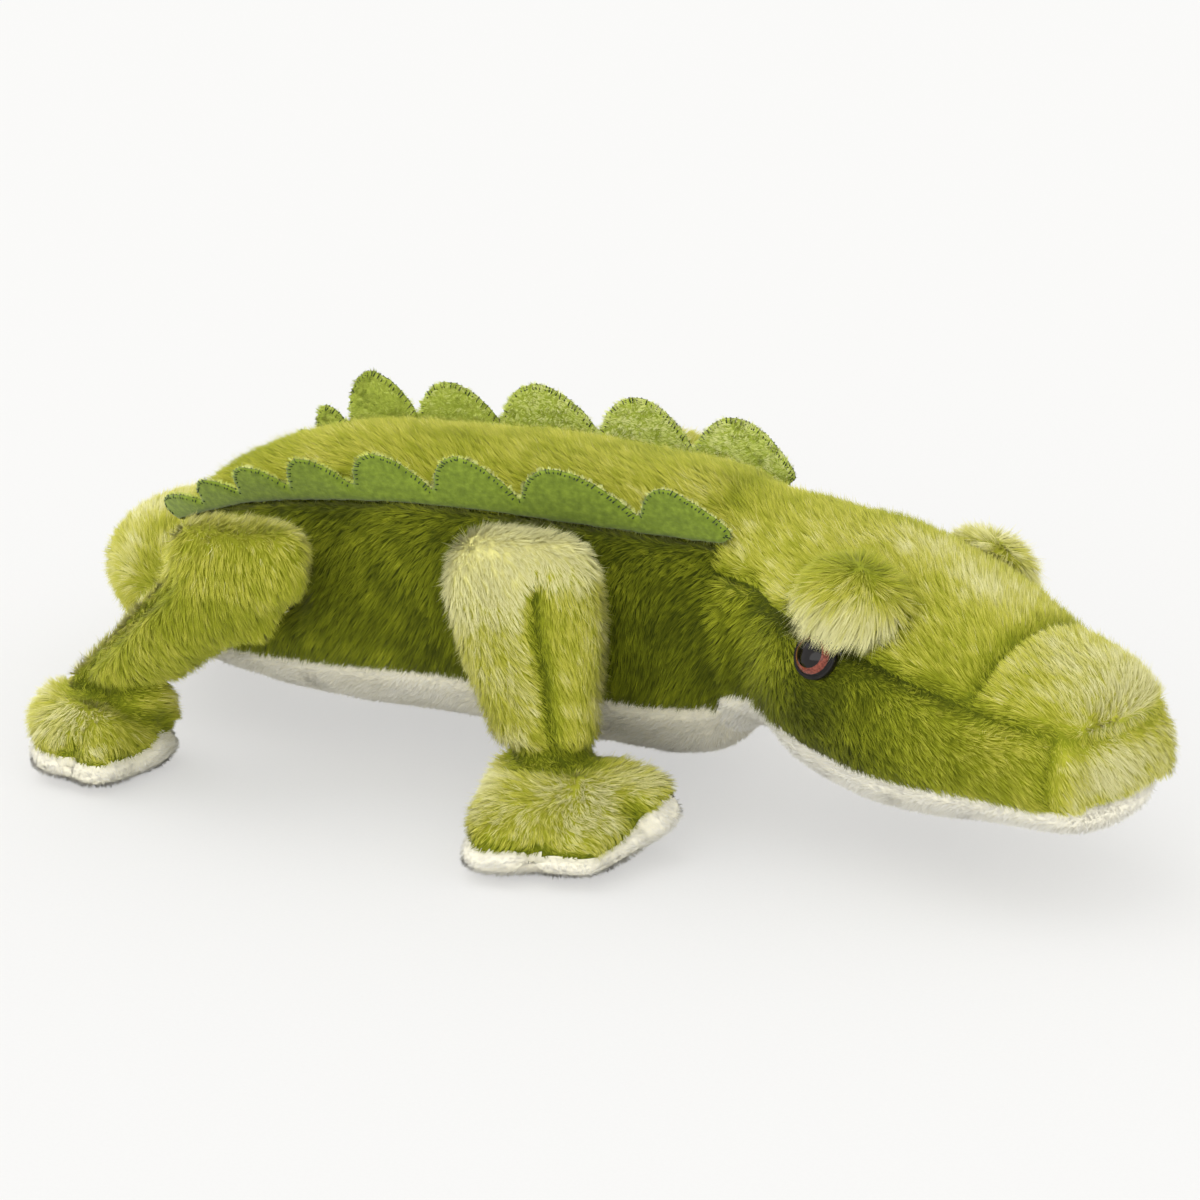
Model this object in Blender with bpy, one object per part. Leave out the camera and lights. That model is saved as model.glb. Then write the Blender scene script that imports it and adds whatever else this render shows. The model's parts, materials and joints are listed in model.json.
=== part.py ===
"""A stuffed crocodile about 0.6 m long: fur panels sewn round filled cores, on four legs.

The nose points along +X, the back is up (+Z) and the floor is z = 0. The head is turned to the
right (-Y) and the tail curls to the left (+Y). Each panel is a sheet of one cloth thickness,
wrapped round the filling that it holds. The neck, the tail root and the four leg tops turn.
"""

import math

import bmesh
import bpy
from mathutils import Matrix, Vector

# Cloth, seams and clearances
CLOTH = 0.0026
CLEARANCE = 0.0003
HOLLOW_CLEARANCE = 0.0007
OVERRUN = 0.010

# Where the point on the floor under the middle of the whole toy lies, seen from mid body
ORIGIN_FORWARD = 0.0544
ORIGIN_LEFT = 0.0459

# Torso
NECK_REACH = 0.120
RUMP_REACH = 0.094
TORSO_HALF_WIDTH = 0.057
TORSO_RISE = 0.040
TORSO_DROP = 0.050
TORSO_HEIGHT = 0.066
NECK_DRIFT = -0.0160
RUMP_DRIFT = 0.0205
TORSO_TURN_FRONT = math.radians(-6)
TORSO_TURN_REAR = math.radians(-42)
TORSO_ROLL_REAR = math.radians(-8)
TORSO_AROUND = 24
BACK_SEAM = 3
BELLY_SEAM = 8
BACK_SEAM_ANGLE = math.radians(43)
BELLY_SEAM_ANGLE = math.radians(122)

# Neck joint: a rounded stump of the head in a hollow of the torso
TORSO_NECK_SHARE = 0.80
NECK_WALL = 0.0036
NECK_RADIUS = TORSO_HALF_WIDTH * TORSO_NECK_SHARE - NECK_WALL
NECK_HALF_HEIGHT = 0.039
NECK_HEIGHT = 0.0635
NECK_BAND = 0.013

# Tail joint, the same way round
TORSO_RUMP_SHARE = 0.610
TAIL_WALL = 0.0043
TAIL_ROOT_RADIUS = TORSO_HALF_WIDTH * TORSO_RUMP_SHARE - TAIL_WALL
TAIL_ROOT_HALF_HEIGHT = 0.0265
TAIL_ROOT_HEIGHT = 0.0435
TAIL_BAND = 0.011

# Head
HEAD_LENGTH = 0.131
HEAD_HALF_WIDTH = 0.049
HEAD_TURN = math.radians(-28)
HEAD_TOP = 0.1025
SNOUT_SEAM = 4
JAW_SEAM = 8
SNOUT_SEAM_ANGLE = math.radians(58)
JAW_SEAM_ANGLE = math.radians(120)

# Tail
TAIL_LENGTH = 0.232
TAIL_AROUND = 16
TAIL_UNDER_SEAM = 5
TAIL_UNDER_SEAM_ANGLE = math.radians(118)
TAIL_SIDE_BEND = math.radians(-64)
TAIL_TIP_BEND = math.radians(-42)
TAIL_TIP_HEIGHT = 0.013
TAIL_TIP_HALF_WIDTH = 0.0039611
TAIL_TIP_HALF_HEIGHT = 0.003445

# Eyes: a dome on a rim, with a stem through the cloth and a washer behind it
EYE_RADIUS = 0.0075
EYE_DOME = 0.0055
EYE_RIM = 0.0010
EYE_SEAT = 0.0010
STEM_RADIUS = 0.0024
STEM_LENGTH = 0.0120
STEM_RIDGE = 0.0004
WASHER_RADIUS = 0.0065
WASHER_THICKNESS = 0.0016
WASHER_SINK = 0.0012
EYE_ALONG_SHARE = 0.335
EYE_DOWN_SHARE = 0.125

# Brow pads over the eyes
BROW_HALF_LENGTH = 0.0195
BROW_HALF_WIDTH = 0.0150
BROW_HALF_HEIGHT = 0.0140
BROW_ALONG = 0.0470
BROW_LEFT = 0.0312
BROW_HEIGHT = 0.0868
LEFT_BROW_SAG = 0.0070

# Scute strips, set in the seams beside the back
SCUTE_THICKNESS = 0.0022
SCUTE_HEIGHT = 0.0178
SCUTE_LEAN = math.radians(-14)
SCUTE_END_GAP = 0.003

# Legs, each from its sole up to its rounded top, and turning on a stump sewn into the flank
LEG_HALF_THICKNESS = 0.0165
STUMP_RADIUS = 0.0130
SOCKET_DEPTH = 0.0120
SEAM_HEIGHT = 0.0075
ANKLE_HEIGHT = 0.0310
LEG_AROUND = 16
FRONT_FLANK = TORSO_HALF_WIDTH
REAR_FLANK_TUCK = 0.0025
REAR_LEFT_FLANK_SWELL = 0.0030


def clear_scene():
    for obj in list(bpy.data.objects):
        bpy.data.objects.remove(obj, do_unlink=True)


def cloth_material(name, colour, roughness=0.9):
    material = bpy.data.materials.new(name)
    material.use_nodes = True
    shader = material.node_tree.nodes["Principled BSDF"]
    shader.inputs["Base Color"].default_value = (*colour, 1.0)
    shader.inputs["Roughness"].default_value = roughness
    shader.inputs["Metallic"].default_value = 0.0
    return material


def smooth_rows(rows, steps):
    """Rows of numbers with `steps` rows for each given span, on one smooth curve through them."""
    out = []
    last = len(rows) - 1
    for k in range(last):
        before, here = rows[max(k - 1, 0)], rows[k]
        there, after = rows[k + 1], rows[min(k + 2, last)]
        for step in range(steps):
            t = step / steps
            out.append(tuple(catmull(*four, t) for four in zip(before, here, there, after)))
    out.append(tuple(rows[last]))
    return out


def catmull(p0, p1, p2, p3, t):
    return 0.5 * (
        2 * p1 + (p2 - p0) * t + (2 * p0 - 5 * p1 + 4 * p2 - p3) * t**2 + (3 * p1 - p0 - 3 * p2 + p3) * t**3
    )


def seam_angles(around, seams):
    """The angle of each point of a ring, from the top down one side and up the other, with each
    seam index at its own angle."""
    half = around // 2
    stops = [(0, 0.0), *seams, (half, math.pi)]
    angles = []
    for index in range(half + 1):
        for (i0, a0), (i1, a1) in zip(stops, stops[1:]):
            if i0 <= index <= i1:
                angle = a0 + (a1 - a0) * (index - i0) / (i1 - i0)
        angles.append(angle)
    return angles + [-a for a in reversed(angles[1:half])]


class Form:
    """A closed swelling body: rings from one end to the other, closed by a point at each end."""

    def __init__(self, rings, start, end):
        self.rings = rings
        self.ends = (start, end)
        self.around = len(rings[0])
        self.normals, self.end_normals = self.find_normals()

    def find_normals(self):
        around, count = self.around, len(self.rings)
        sums = [[Vector() for _ in range(around)] for _ in range(count)]
        ends = [Vector(), Vector()]
        for j in range(count - 1):
            for i in range(around):
                k = (i + 1) % around
                a, b = self.rings[j][i], self.rings[j][k]
                c, d = self.rings[j + 1][k], self.rings[j + 1][i]
                normal = (c - a).cross(d - b)
                for row, col in ((j, i), (j, k), (j + 1, k), (j + 1, i)):
                    sums[row][col] += normal
        for which, j in ((0, 0), (1, count - 1)):
            for i in range(around):
                k = (i + 1) % around
                a, b = self.rings[j][i] - self.ends[which], self.rings[j][k] - self.ends[which]
                normal = a.cross(b) if which else b.cross(a)
                sums[j][i] += normal
                sums[j][k] += normal
                ends[which] += normal
        middle = sum(self.rings[count // 2], Vector()) / around
        outward = sums[count // 2][0].dot(self.rings[count // 2][0] - middle) > 0
        sign = 1 if outward else -1
        normals = [[v.normalized() * sign for v in ring] for ring in sums]
        return normals, [v.normalized() * sign for v in ends]

    def layer(self, depth):
        """The rings and end points, moved in by `depth`."""
        rings = [
            [p - n * depth for p, n in zip(ring, normals)] for ring, normals in zip(self.rings, self.normals)
        ]
        ends = [p - n * depth for p, n in zip(self.ends, self.end_normals)]
        return rings, ends


def make_object(name, mesh_maker, material):
    mesh = bpy.data.meshes.new(name)
    shape = bmesh.new()
    mesh_maker(shape)
    bmesh.ops.recalc_face_normals(shape, faces=shape.faces)
    shape.to_mesh(mesh)
    shape.free()
    mesh.shade_smooth()
    mesh.set_sharp_from_angle(angle=math.radians(40))
    mesh.materials.append(material)
    obj = bpy.data.objects.new(name, mesh)
    bpy.context.scene.collection.objects.link(obj)
    return obj


def core(name, form, depth, material):
    """The closed filling of a form, `depth` under its outer face."""
    rings, ends = form.layer(depth)

    def build(shape):
        grid = [[shape.verts.new(p) for p in ring] for ring in rings]
        tips = [shape.verts.new(p) for p in ends]
        for lower, upper in zip(grid, grid[1:]):
            for i in range(form.around):
                k = (i + 1) % form.around
                shape.faces.new((lower[i], lower[k], upper[k], upper[i]))
        for ring, tip in ((grid[0], tips[0]), (grid[-1], tips[1])):
            for i in range(form.around):
                shape.faces.new((ring[i], ring[(i + 1) % form.around], tip))

    return make_object(name, build, material)


def toward(a, b, distance):
    return a + (b - a).normalized() * distance


def trimmed(grid, edges):
    """A grid with its border points drawn in along the surface: edges are for its first row, last
    row, first column and last column, each a distance or zero."""
    first_row, last_row, first_col, last_col = edges
    grid = [list(row) for row in grid]
    if first_col:
        for row in grid:
            row[0] = toward(row[0], row[1], first_col)
    if last_col:
        for row in grid:
            row[-1] = toward(row[-1], row[-2], last_col)
    if first_row:
        grid[0] = [toward(a, b, first_row) for a, b in zip(grid[0], grid[1])]
    if last_row:
        grid[-1] = [toward(a, b, last_row) for a, b in zip(grid[-1], grid[-2])]
    return grid


def panel(name, form, rows, columns, material, side_gaps=(CLEARANCE / 2, CLEARANCE / 2)):
    """A sheet of cloth on a form. rows are the first and last ring, where -1 and the ring count
    stand for the end points. columns are the first and last point, or None for all round."""
    count = len(form.rings)
    whole = columns is None
    span = range(form.around) if whole else range(columns[0], columns[1] + 1)
    start_tip, end_tip = rows[0] < 0, rows[1] >= count
    ring_range = range(max(rows[0], 0), min(rows[1], count - 1) + 1)
    half = CLEARANCE / 2
    edges = (0 if start_tip else half, 0 if end_tip else half, *((0, 0) if whole else side_gaps))
    layers = []
    for depth in (0, CLOTH):
        rings, ends = form.layer(depth)
        grid = trimmed([[rings[j][i % form.around] for i in span] for j in ring_range], edges)
        tips = []
        for has_tip, tip, row in ((start_tip, ends[0], grid[0]), (end_tip, ends[1], grid[-1])):
            if has_tip and not whole:
                tip = toward(tip, row[len(row) // 2], CLEARANCE)
            tips.append(tip if has_tip else None)
        layers.append((grid, tips))

    def build(shape):
        made = []
        for grid, tips in layers:
            verts = [[shape.verts.new(p) for p in row] for row in grid]
            points = [shape.verts.new(t) if t else None for t in tips]
            made.append((verts, points))
            steps = len(span) if whole else len(span) - 1
            for lower, upper in zip(verts, verts[1:]):
                for i in range(steps):
                    k = (i + 1) % len(span)
                    shape.faces.new((lower[i], lower[k], upper[k], upper[i]))
            for point, row in zip(points, (verts[0], verts[-1])):
                if point:
                    for i in range(steps):
                        shape.faces.new((row[i], row[(i + 1) % len(span)], point))
        outer, inner = made
        close_panel(shape, outer, inner, whole)

    return make_object(name, build, material)


def close_panel(shape, outer, inner, whole):
    """The cut edges of a panel, between its outer and its inner face."""
    (out, out_tips), (inn, in_tips) = outer, inner
    for which, row in ((0, 0), (1, -1)):
        if out_tips[which]:
            continue
        steps = len(out[row]) if whole else len(out[row]) - 1
        for i in range(steps):
            k = (i + 1) % len(out[row])
            shape.faces.new((out[row][i], out[row][k], inn[row][k], inn[row][i]))
    if whole:
        return
    for col in (0, -1):
        out_line = [row[col] for row in out]
        in_line = [row[col] for row in inn]
        if out_tips[0]:
            out_line.insert(0, out_tips[0])
            in_line.insert(0, in_tips[0])
        if out_tips[1]:
            out_line.append(out_tips[1])
            in_line.append(in_tips[1])
        for k in range(len(out_line) - 1):
            shape.faces.new((out_line[k], out_line[k + 1], in_line[k + 1], in_line[k]))


def ellipse_ring(centre, heading, half_width, rise, drop, angles):
    """A ring square to its heading in plan: `rise` above its centre and `drop` below."""
    side = Vector((-math.sin(heading), math.cos(heading), 0))
    ring = []
    for angle in angles:
        height = rise if math.cos(angle) > 0 else drop
        ring.append(centre + side * half_width * math.sin(angle) + Vector((0, 0, height * math.cos(angle))))
    return ring


def ellipsoid_cutter(name, centre, radius, half_height):
    """A closed ellipsoid, turned about the upright line through its centre."""

    def build(shape):
        bmesh.ops.create_uvsphere(shape, u_segments=32, v_segments=16, radius=1)
        bmesh.ops.scale(shape, vec=(radius, radius, half_height), verts=shape.verts)
        bmesh.ops.translate(shape, vec=centre, verts=shape.verts)

    return helper(name, build)


def cylinder_mesh(shape, start, end, radius, segments=20):
    """A closed cylinder from one point to another."""
    along = end - start
    turn = along.to_track_quat("Z", "Y").to_matrix().to_4x4()
    place = Matrix.Translation((start + end) / 2) @ turn
    bmesh.ops.create_cone(
        shape,
        cap_ends=True,
        segments=segments,
        radius1=radius,
        radius2=radius,
        depth=along.length,
        matrix=place,
    )


def helper(name, build):
    """A shape that only cuts or joins others."""
    obj = make_object(name, build, HELPER)
    obj.hide_render = True
    obj.display_type = "WIRE"
    return obj


def cylinder_helper(name, start, end, radius):
    return helper(name, lambda shape: cylinder_mesh(shape, start, end, radius))


def boolean(obj, tool, operation):
    modifier = obj.modifiers.new(f"{operation.lower()} {tool.name}", "BOOLEAN")
    modifier.operation = operation
    modifier.solver = "EXACT"
    modifier.object = tool


# Torso shape: share of the way from rump to neck, then shares of half width, rise and drop,
# and of the height of the middle
TORSO_SECTION_SHARES = (
    (0.00, TORSO_RUMP_SHARE, 1.02, 0.62, 0.735),
    (0.14, 0.78, 1.10, 0.86, 0.91),
    (0.30, 0.92, 1.07, 1.03, 1.01),
    (0.50, 1.00, 1.03, 1.09, 1.035),
    (0.70, 0.99, 1.01, 1.14, 1.02),
    (0.86, 0.90, 1.02, 1.13, 0.99),
    (1.00, TORSO_NECK_SHARE, 1.05, 1.00, 0.962),
)
TORSO_STEPS = 2


def torso_point(share):
    """(point on the floor under the spine, heading, roll) at a share of the way from rump to neck."""
    length = NECK_REACH + RUMP_REACH
    along = share * length - RUMP_REACH
    if along >= 0:
        reach, turn, drift, roll = NECK_REACH, TORSO_TURN_FRONT, NECK_DRIFT, 0
    else:
        reach, turn, drift, roll = RUMP_REACH, TORSO_TURN_REAR, RUMP_DRIFT, TORSO_ROLL_REAR
    share_out = abs(along) / reach
    return Vector((along, drift * share_out**3, 0)), turn * share_out**2, roll * share_out


def make_torso_form():
    angles = seam_angles(
        TORSO_AROUND, [(BACK_SEAM, BACK_SEAM_ANGLE), (BELLY_SEAM, BELLY_SEAM_ANGLE)]
    )
    rings = []
    length = NECK_REACH + RUMP_REACH
    first = TAIL_BAND / length
    last = 1 - NECK_BAND / length
    for share, width, rise, drop, height in smooth_rows(TORSO_SECTION_SHARES, TORSO_STEPS):
        place, heading, roll = torso_point(first + (last - first) * share)
        centre = place + Vector((0, 0, TORSO_HEIGHT * height))
        sizes = (TORSO_HALF_WIDTH * width, TORSO_RISE * rise, TORSO_DROP * drop)
        rings.append(ellipse_ring(centre, heading, *sizes, [angle + roll for angle in angles]))
    start = sum(rings[0], Vector()) / len(rings[0])
    end = sum(rings[-1], Vector()) / len(rings[-1])
    return Form(rings, start, end)


# Head shape: share of the length ahead of the neck pivot, then shares of the half width, of the
# height of the top, of the bottom and of the widest place
HEAD_SECTION_SHARES = (
    (0.14, 0.95, 0.985, 0.185, 0.57),
    (0.29, 1.00, 0.966, 0.145, 0.52),
    (0.44, 1.00, 0.930, 0.135, 0.49),
    (0.58, 0.94, 0.870, 0.150, 0.46),
    (0.73, 0.83, 0.800, 0.180, 0.44),
    (0.84, 0.76, 0.775, 0.200, 0.42),
    (0.94, 0.68, 0.745, 0.215, 0.40),
    (0.985, 0.56, 0.680, 0.240, 0.38),
    (1.00, 0.38, 0.590, 0.290, 0.38),
)
# Rings of a stump, as shares of its radius behind the pivot: bare filling first, then clothed.
# The last ones carry the neck's round form on ahead of the pivot, so that it can turn.
BARE_STUMP_SHARES = (0.94, 0.82)
CLOTHED_STUMP_SHARES = (0.62, 0.36)
NECK_FRONT_SHARES = (0.10, -0.22)
BRIDGE_SHARE = 0.73
NOSE_SHARE = 0.94


def head_ring(share):
    """The ring of the head at a share of its length, in whole rings and a part of one."""
    stops = [row[0] for row in HEAD_SECTION_SHARES]
    first = len(BARE_STUMP_SHARES + CLOTHED_STUMP_SHARES + NECK_FRONT_SHARES)
    for index, (near, far) in enumerate(zip(stops, stops[1:])):
        if share <= far:
            break
    return first + index + (share - near) / (far - near)


def head_place(along, left, height):
    """A point given along the head, to its left and above the floor."""
    pivot, _, _ = torso_point(1)
    ahead = Vector((math.cos(HEAD_TURN), math.sin(HEAD_TURN), 0))
    side = Vector((-math.sin(HEAD_TURN), math.cos(HEAD_TURN), 0))
    return pivot + ahead * along + side * left + Vector((0, 0, height))


def stump_rings(radius, half_height, shares, place, heading, angles):
    """Rings of a rounded stump that turns in its hollow: shares are distances behind the pivot."""
    rings = []
    for share in shares:
        size = math.sqrt(1 - share**2)
        rings.append(
            ellipse_ring(
                place(-share * radius), heading, radius * size, half_height * size, half_height * size, angles
            )
        )
    return rings


def make_head_form():
    angles = seam_angles(
        TORSO_AROUND, [(SNOUT_SEAM, SNOUT_SEAM_ANGLE), (JAW_SEAM, JAW_SEAM_ANGLE)]
    )
    rings = stump_rings(
        NECK_RADIUS,
        NECK_HALF_HEIGHT,
        BARE_STUMP_SHARES + CLOTHED_STUMP_SHARES + NECK_FRONT_SHARES,
        lambda along: head_place(along, 0, NECK_HEIGHT),
        HEAD_TURN,
        angles,
    )
    for share, width, top, bottom, waist in HEAD_SECTION_SHARES:
        centre = head_place(share * HEAD_LENGTH, 0, waist * HEAD_TOP)
        rings.append(
            ellipse_ring(
                centre,
                HEAD_TURN,
                width * HEAD_HALF_WIDTH,
                (top - waist) * HEAD_TOP,
                (waist - bottom) * HEAD_TOP,
                angles,
            )
        )
    start = head_place(-NECK_RADIUS, 0, NECK_HEIGHT)
    seam_middle = (rings[-1][JAW_SEAM] + rings[-1][-JAW_SEAM]) / 2
    tip = seam_middle + head_place(CLOTH, 0, 0) - head_place(0, 0, 0)
    return Form(rings, start, tip)


# Tail shape: share of the length behind the pivot, then shares of the half width, of the rise and
# drop, and of the way down from the root's height to the tip's
TAIL_SECTION_SHARES = (
    (0.00, 1.00, 1.00, 0.00),
    (0.10, 0.99, 0.98, 0.06),
    (0.25, 0.90, 0.90, 0.20),
    (0.42, 0.76, 0.76, 0.42),
    (0.60, 0.58, 0.58, 0.66),
    (0.78, 0.40, 0.40, 0.86),
    (0.92, 0.26, 0.26, 0.97),
    (
        1.00,
        TAIL_TIP_HALF_WIDTH / TAIL_ROOT_RADIUS,
        TAIL_TIP_HALF_HEIGHT / TAIL_ROOT_HALF_HEIGHT,
        1.00,
    ),
)
# The bend is this many root half widths long, so that its inner side never folds over
TAIL_BEND_REACH_SHARE = 1.67509025
TAIL_BEND_END_SHARE = TAIL_ROOT_RADIUS * TAIL_BEND_REACH_SHARE / TAIL_LENGTH
TAIL_STEPS = 2
TAIL_WALK_STEPS = 48


def tail_point(share):
    """(point on the floor under the tail, heading) at a share of its length."""
    place, heading, _ = torso_point(0)
    place = place.copy()
    step = TAIL_LENGTH / TAIL_WALK_STEPS
    walked = round(share * TAIL_WALK_STEPS)
    for k in range(walked):
        middle = (k + 0.5) / TAIL_WALK_STEPS
        turn = tail_heading(heading, middle)
        place -= Vector((math.cos(turn), math.sin(turn), 0)) * step
    return place, tail_heading(heading, share)


def tail_heading(root, share):
    near = min(share / TAIL_BEND_END_SHARE, 1)
    far = max(share - TAIL_BEND_END_SHARE, 0) / (1 - TAIL_BEND_END_SHARE)
    eased = near * near * (3 - 2 * near)
    return root + TAIL_SIDE_BEND * eased + TAIL_TIP_BEND * far


def make_tail_form():
    angles = seam_angles(TAIL_AROUND, [(TAIL_UNDER_SEAM, TAIL_UNDER_SEAM_ANGLE)])
    pivot, heading, roll = torso_point(0)
    angles = [angle + roll for angle in angles]
    back = Vector((math.cos(heading), math.sin(heading), 0))
    rings = stump_rings(
        TAIL_ROOT_RADIUS,
        TAIL_ROOT_HALF_HEIGHT,
        BARE_STUMP_SHARES + CLOTHED_STUMP_SHARES,
        lambda along: pivot - back * along + Vector((0, 0, TAIL_ROOT_HEIGHT)),
        heading,
        angles,
    )
    for share, width, rise, fall in smooth_rows(TAIL_SECTION_SHARES, TAIL_STEPS):
        place, turn = tail_point(share)
        height = TAIL_ROOT_HEIGHT + (TAIL_TIP_HEIGHT - TAIL_ROOT_HEIGHT) * fall
        tall = TAIL_ROOT_HALF_HEIGHT * rise
        rings.append(
            ellipse_ring(
                place + Vector((0, 0, height)), turn, TAIL_ROOT_RADIUS * width, tall, tall, angles
            )
        )
    start = pivot + back * TAIL_ROOT_RADIUS + Vector((0, 0, TAIL_ROOT_HEIGHT))
    tip_place, turn = tail_point(1)
    tip = tip_place - Vector((math.cos(turn), math.sin(turn), 0)) * CLOTH + Vector((0, 0, TAIL_TIP_HEIGHT))
    return Form(rings, start, tip)


# The four legs: where the top and the ankle stand, and the way the toes point
LEGS = {
    "front_right_leg": dict(
        side=-1,
        flank=FRONT_FLANK,
        top_forward=0.0440,
        top_height=0.1040,
        pivot_height=0.0720,
        ankle_forward=0.0520,
        ankle_inward=0.0,
        half_length=0.0272,
        ankle_half_length=0.0168,
        heel=0.0215,
        toe=0.0265,
        toe_lift=0.0100,
        toes_turn=math.radians(-57),
        seam_point=LEG_AROUND - 1,
    ),
    "front_left_leg": dict(
        side=1,
        flank=FRONT_FLANK,
        top_forward=0.0500,
        top_height=0.0920,
        pivot_height=0.0640,
        ankle_forward=0.0600,
        ankle_inward=0.0,
        half_length=0.0272,
        ankle_half_length=0.0168,
        heel=0.0215,
        toe=0.0265,
        toe_lift=0.0,
        toes_turn=math.radians(-50),
        seam_point=LEG_AROUND - 1,
    ),
    "rear_right_leg": dict(
        side=-1,
        flank=TORSO_HALF_WIDTH - REAR_FLANK_TUCK,
        top_forward=-0.0500,
        top_height=0.0980,
        pivot_height=0.0660,
        ankle_forward=-0.1010,
        ankle_inward=0.0230,
        half_length=0.0265,
        ankle_half_length=0.0200,
        heel=0.0195,
        toe=0.0150,
        toe_lift=0.0,
        toes_turn=math.radians(-135),
        seam_point=LEG_AROUND - 1,
    ),
    "rear_left_leg": dict(
        side=1,
        flank=TORSO_HALF_WIDTH + REAR_LEFT_FLANK_SWELL,
        top_forward=-0.0330,
        top_height=0.0860,
        pivot_height=0.0580,
        ankle_forward=-0.0280,
        ankle_inward=0.0080,
        half_length=0.0265,
        ankle_half_length=0.0200,
        heel=0.0195,
        toe=0.0150,
        toe_lift=0.0,
        toes_turn=math.radians(-70),
        seam_point=LEG_AROUND - 1,
    ),
}
TOE_SPREAD = math.radians(49)
TOE_BREADTH = math.radians(25)
TOE_POINTS = 10
# Share of the height up to the seam, and share of the outline, under and round the sole
SOLE_SHARES = ((0.0, 0.45), (0.0, 0.86), (0.38, 0.97))
# Share of the way from the seam to the ankle, and share of the foot's spread
FOOT_SHARES = ((0.0, 1.0), (0.30, 0.97), (0.58, 0.80), (0.82, 0.45), (1.0, 0.0))
# Share of the way from the ankle to the top, and shares of the swell in length and of thickness
LEG_SHARES = (
    (0.05, 0.12, 0.84),
    (0.24, 0.42, 0.92),
    (0.46, 0.80, 0.98),
    (0.68, 1.00, 1.00),
    (0.84, 0.86, 0.94),
    (0.94, 0.45, 0.72),
    (0.99, -0.35, 0.38),
)
LEG_LEAN_SHARE = 0.68


def foot_angles():
    """Angles round the ankle from the toes' direction, closer together at the toes."""
    quarter = math.pi / 2
    front = [math.pi * k / TOE_POINTS - quarter for k in range(TOE_POINTS + 1)]
    behind = LEG_AROUND - TOE_POINTS
    back = [math.pi * k / behind + quarter for k in range(1, behind)]
    angles = front + back
    middle = TOE_POINTS // 2
    return angles[middle:] + angles[:middle]


def toe_swell(angle, middle):
    """How much of a toe is felt at an angle: all of it at its middle."""
    away = (angle - middle + math.pi) % (2 * math.pi) - math.pi
    return math.exp(-((away / TOE_BREADTH) ** 2))


def foot_radius(angle, heel, toe):
    """How far the foot reaches from the ankle: round at the heel, with three soft toes."""
    return heel + toe * sum(toe_swell(angle, middle) for middle in (-TOE_SPREAD, 0, TOE_SPREAD))


def make_leg_form(leg):
    """A leg from the middle of its sole up to its top."""
    angles = foot_angles()
    top_left = leg["flank"] + CLEARANCE + LEG_HALF_THICKNESS
    ankle_left = top_left - leg["ankle_inward"]
    ankle_length = leg["ankle_half_length"]
    ankle_thick = LEG_HALF_THICKNESS * LEG_SHARES[0][2]
    reaches = [foot_radius(angle, leg["heel"], leg["toe"]) for angle in angles]
    lifts = [leg["toe_lift"] * toe_swell(angle, TOE_SPREAD) for angle in angles]

    def ring(forward, left, height, radii, lift_share=0.0):
        points = []
        for angle, (along, out), lift in zip(angles, radii, lifts):
            direction = angle + leg["toes_turn"]
            x = forward + along * math.cos(direction)
            y = left - out * math.sin(direction)
            points.append(Vector((x, leg["side"] * y, height + lift * lift_share)))
        return points

    def foot_ring(height, spread, outline=1.0):
        radii = []
        for reach in reaches:
            along = ankle_length + (reach - ankle_length) * spread
            out = ankle_thick + (reach - ankle_thick) * spread
            radii.append((along * outline, out * outline))
        lift_share = spread * max(2 * outline - 1, 0)
        return ring(leg["ankle_forward"], ankle_left, height, radii, lift_share)

    rings = [foot_ring(SEAM_HEIGHT * rise, 1.0, outline) for rise, outline in SOLE_SHARES]
    foot_height = ANKLE_HEIGHT - SEAM_HEIGHT
    rings += [foot_ring(SEAM_HEIGHT + foot_height * rise, spread) for rise, spread in FOOT_SHARES]
    for rise, swell, thick in LEG_SHARES:
        height = ANKLE_HEIGHT + (leg["top_height"] - ANKLE_HEIGHT) * rise
        lean = min(rise / LEG_LEAN_SHARE, 1)
        forward = leg["ankle_forward"] + (leg["top_forward"] - leg["ankle_forward"]) * lean
        left = ankle_left + leg["ankle_inward"] * lean
        half_length = ankle_length + (leg["half_length"] - ankle_length) * swell
        radii = [(half_length, LEG_HALF_THICKNESS * thick)] * len(angles)
        rings.append(ring(forward, left, height, radii))
    start = Vector((leg["ankle_forward"], leg["side"] * ankle_left, 0))
    end = Vector((leg["top_forward"], leg["side"] * top_left, leg["top_height"]))
    return Form(rings, start, end)


def on_form(form, ring, point):
    """(place, outward direction) at a fractional ring and point of a form."""
    j, i = math.floor(ring), math.floor(point)
    t, u = ring - j, point - i
    corners = [
        (j, i, (1 - t) * (1 - u)),
        (j, i + 1, (1 - t) * u),
        (j + 1, i, t * (1 - u)),
        (j + 1, i + 1, t * u),
    ]
    place = sum((form.rings[a][b % form.around] * w for a, b, w in corners), Vector())
    normal = sum((form.normals[a][b % form.around] * w for a, b, w in corners), Vector())
    return place, normal.normalized()


def turned(name, profile, place, direction, material, segments=20):
    """A solid turned about a direction, from (radius, distance along it) points, closed on the
    axis at both ends unless the profile is itself closed."""

    def build(shape):
        verts = [shape.verts.new((radius, 0, along)) for radius, along in profile]
        edges = [shape.edges.new(pair) for pair in zip(verts, verts[1:])]
        if profile[0][0] > 0:
            edges.append(shape.edges.new((verts[-1], verts[0])))
        bmesh.ops.spin(
            shape,
            geom=verts + edges,
            axis=(0, 0, 1),
            cent=(0, 0, 0),
            angle=2 * math.pi,
            steps=segments,
            use_merge=True,
        )
        bmesh.ops.remove_doubles(shape, verts=shape.verts, dist=CLEARANCE / 100)
        turn = direction.to_track_quat("Z", "Y").to_matrix().to_4x4()
        bmesh.ops.transform(shape, matrix=Matrix.Translation(place) @ turn, verts=shape.verts)

    return make_object(name, build, material)


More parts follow.
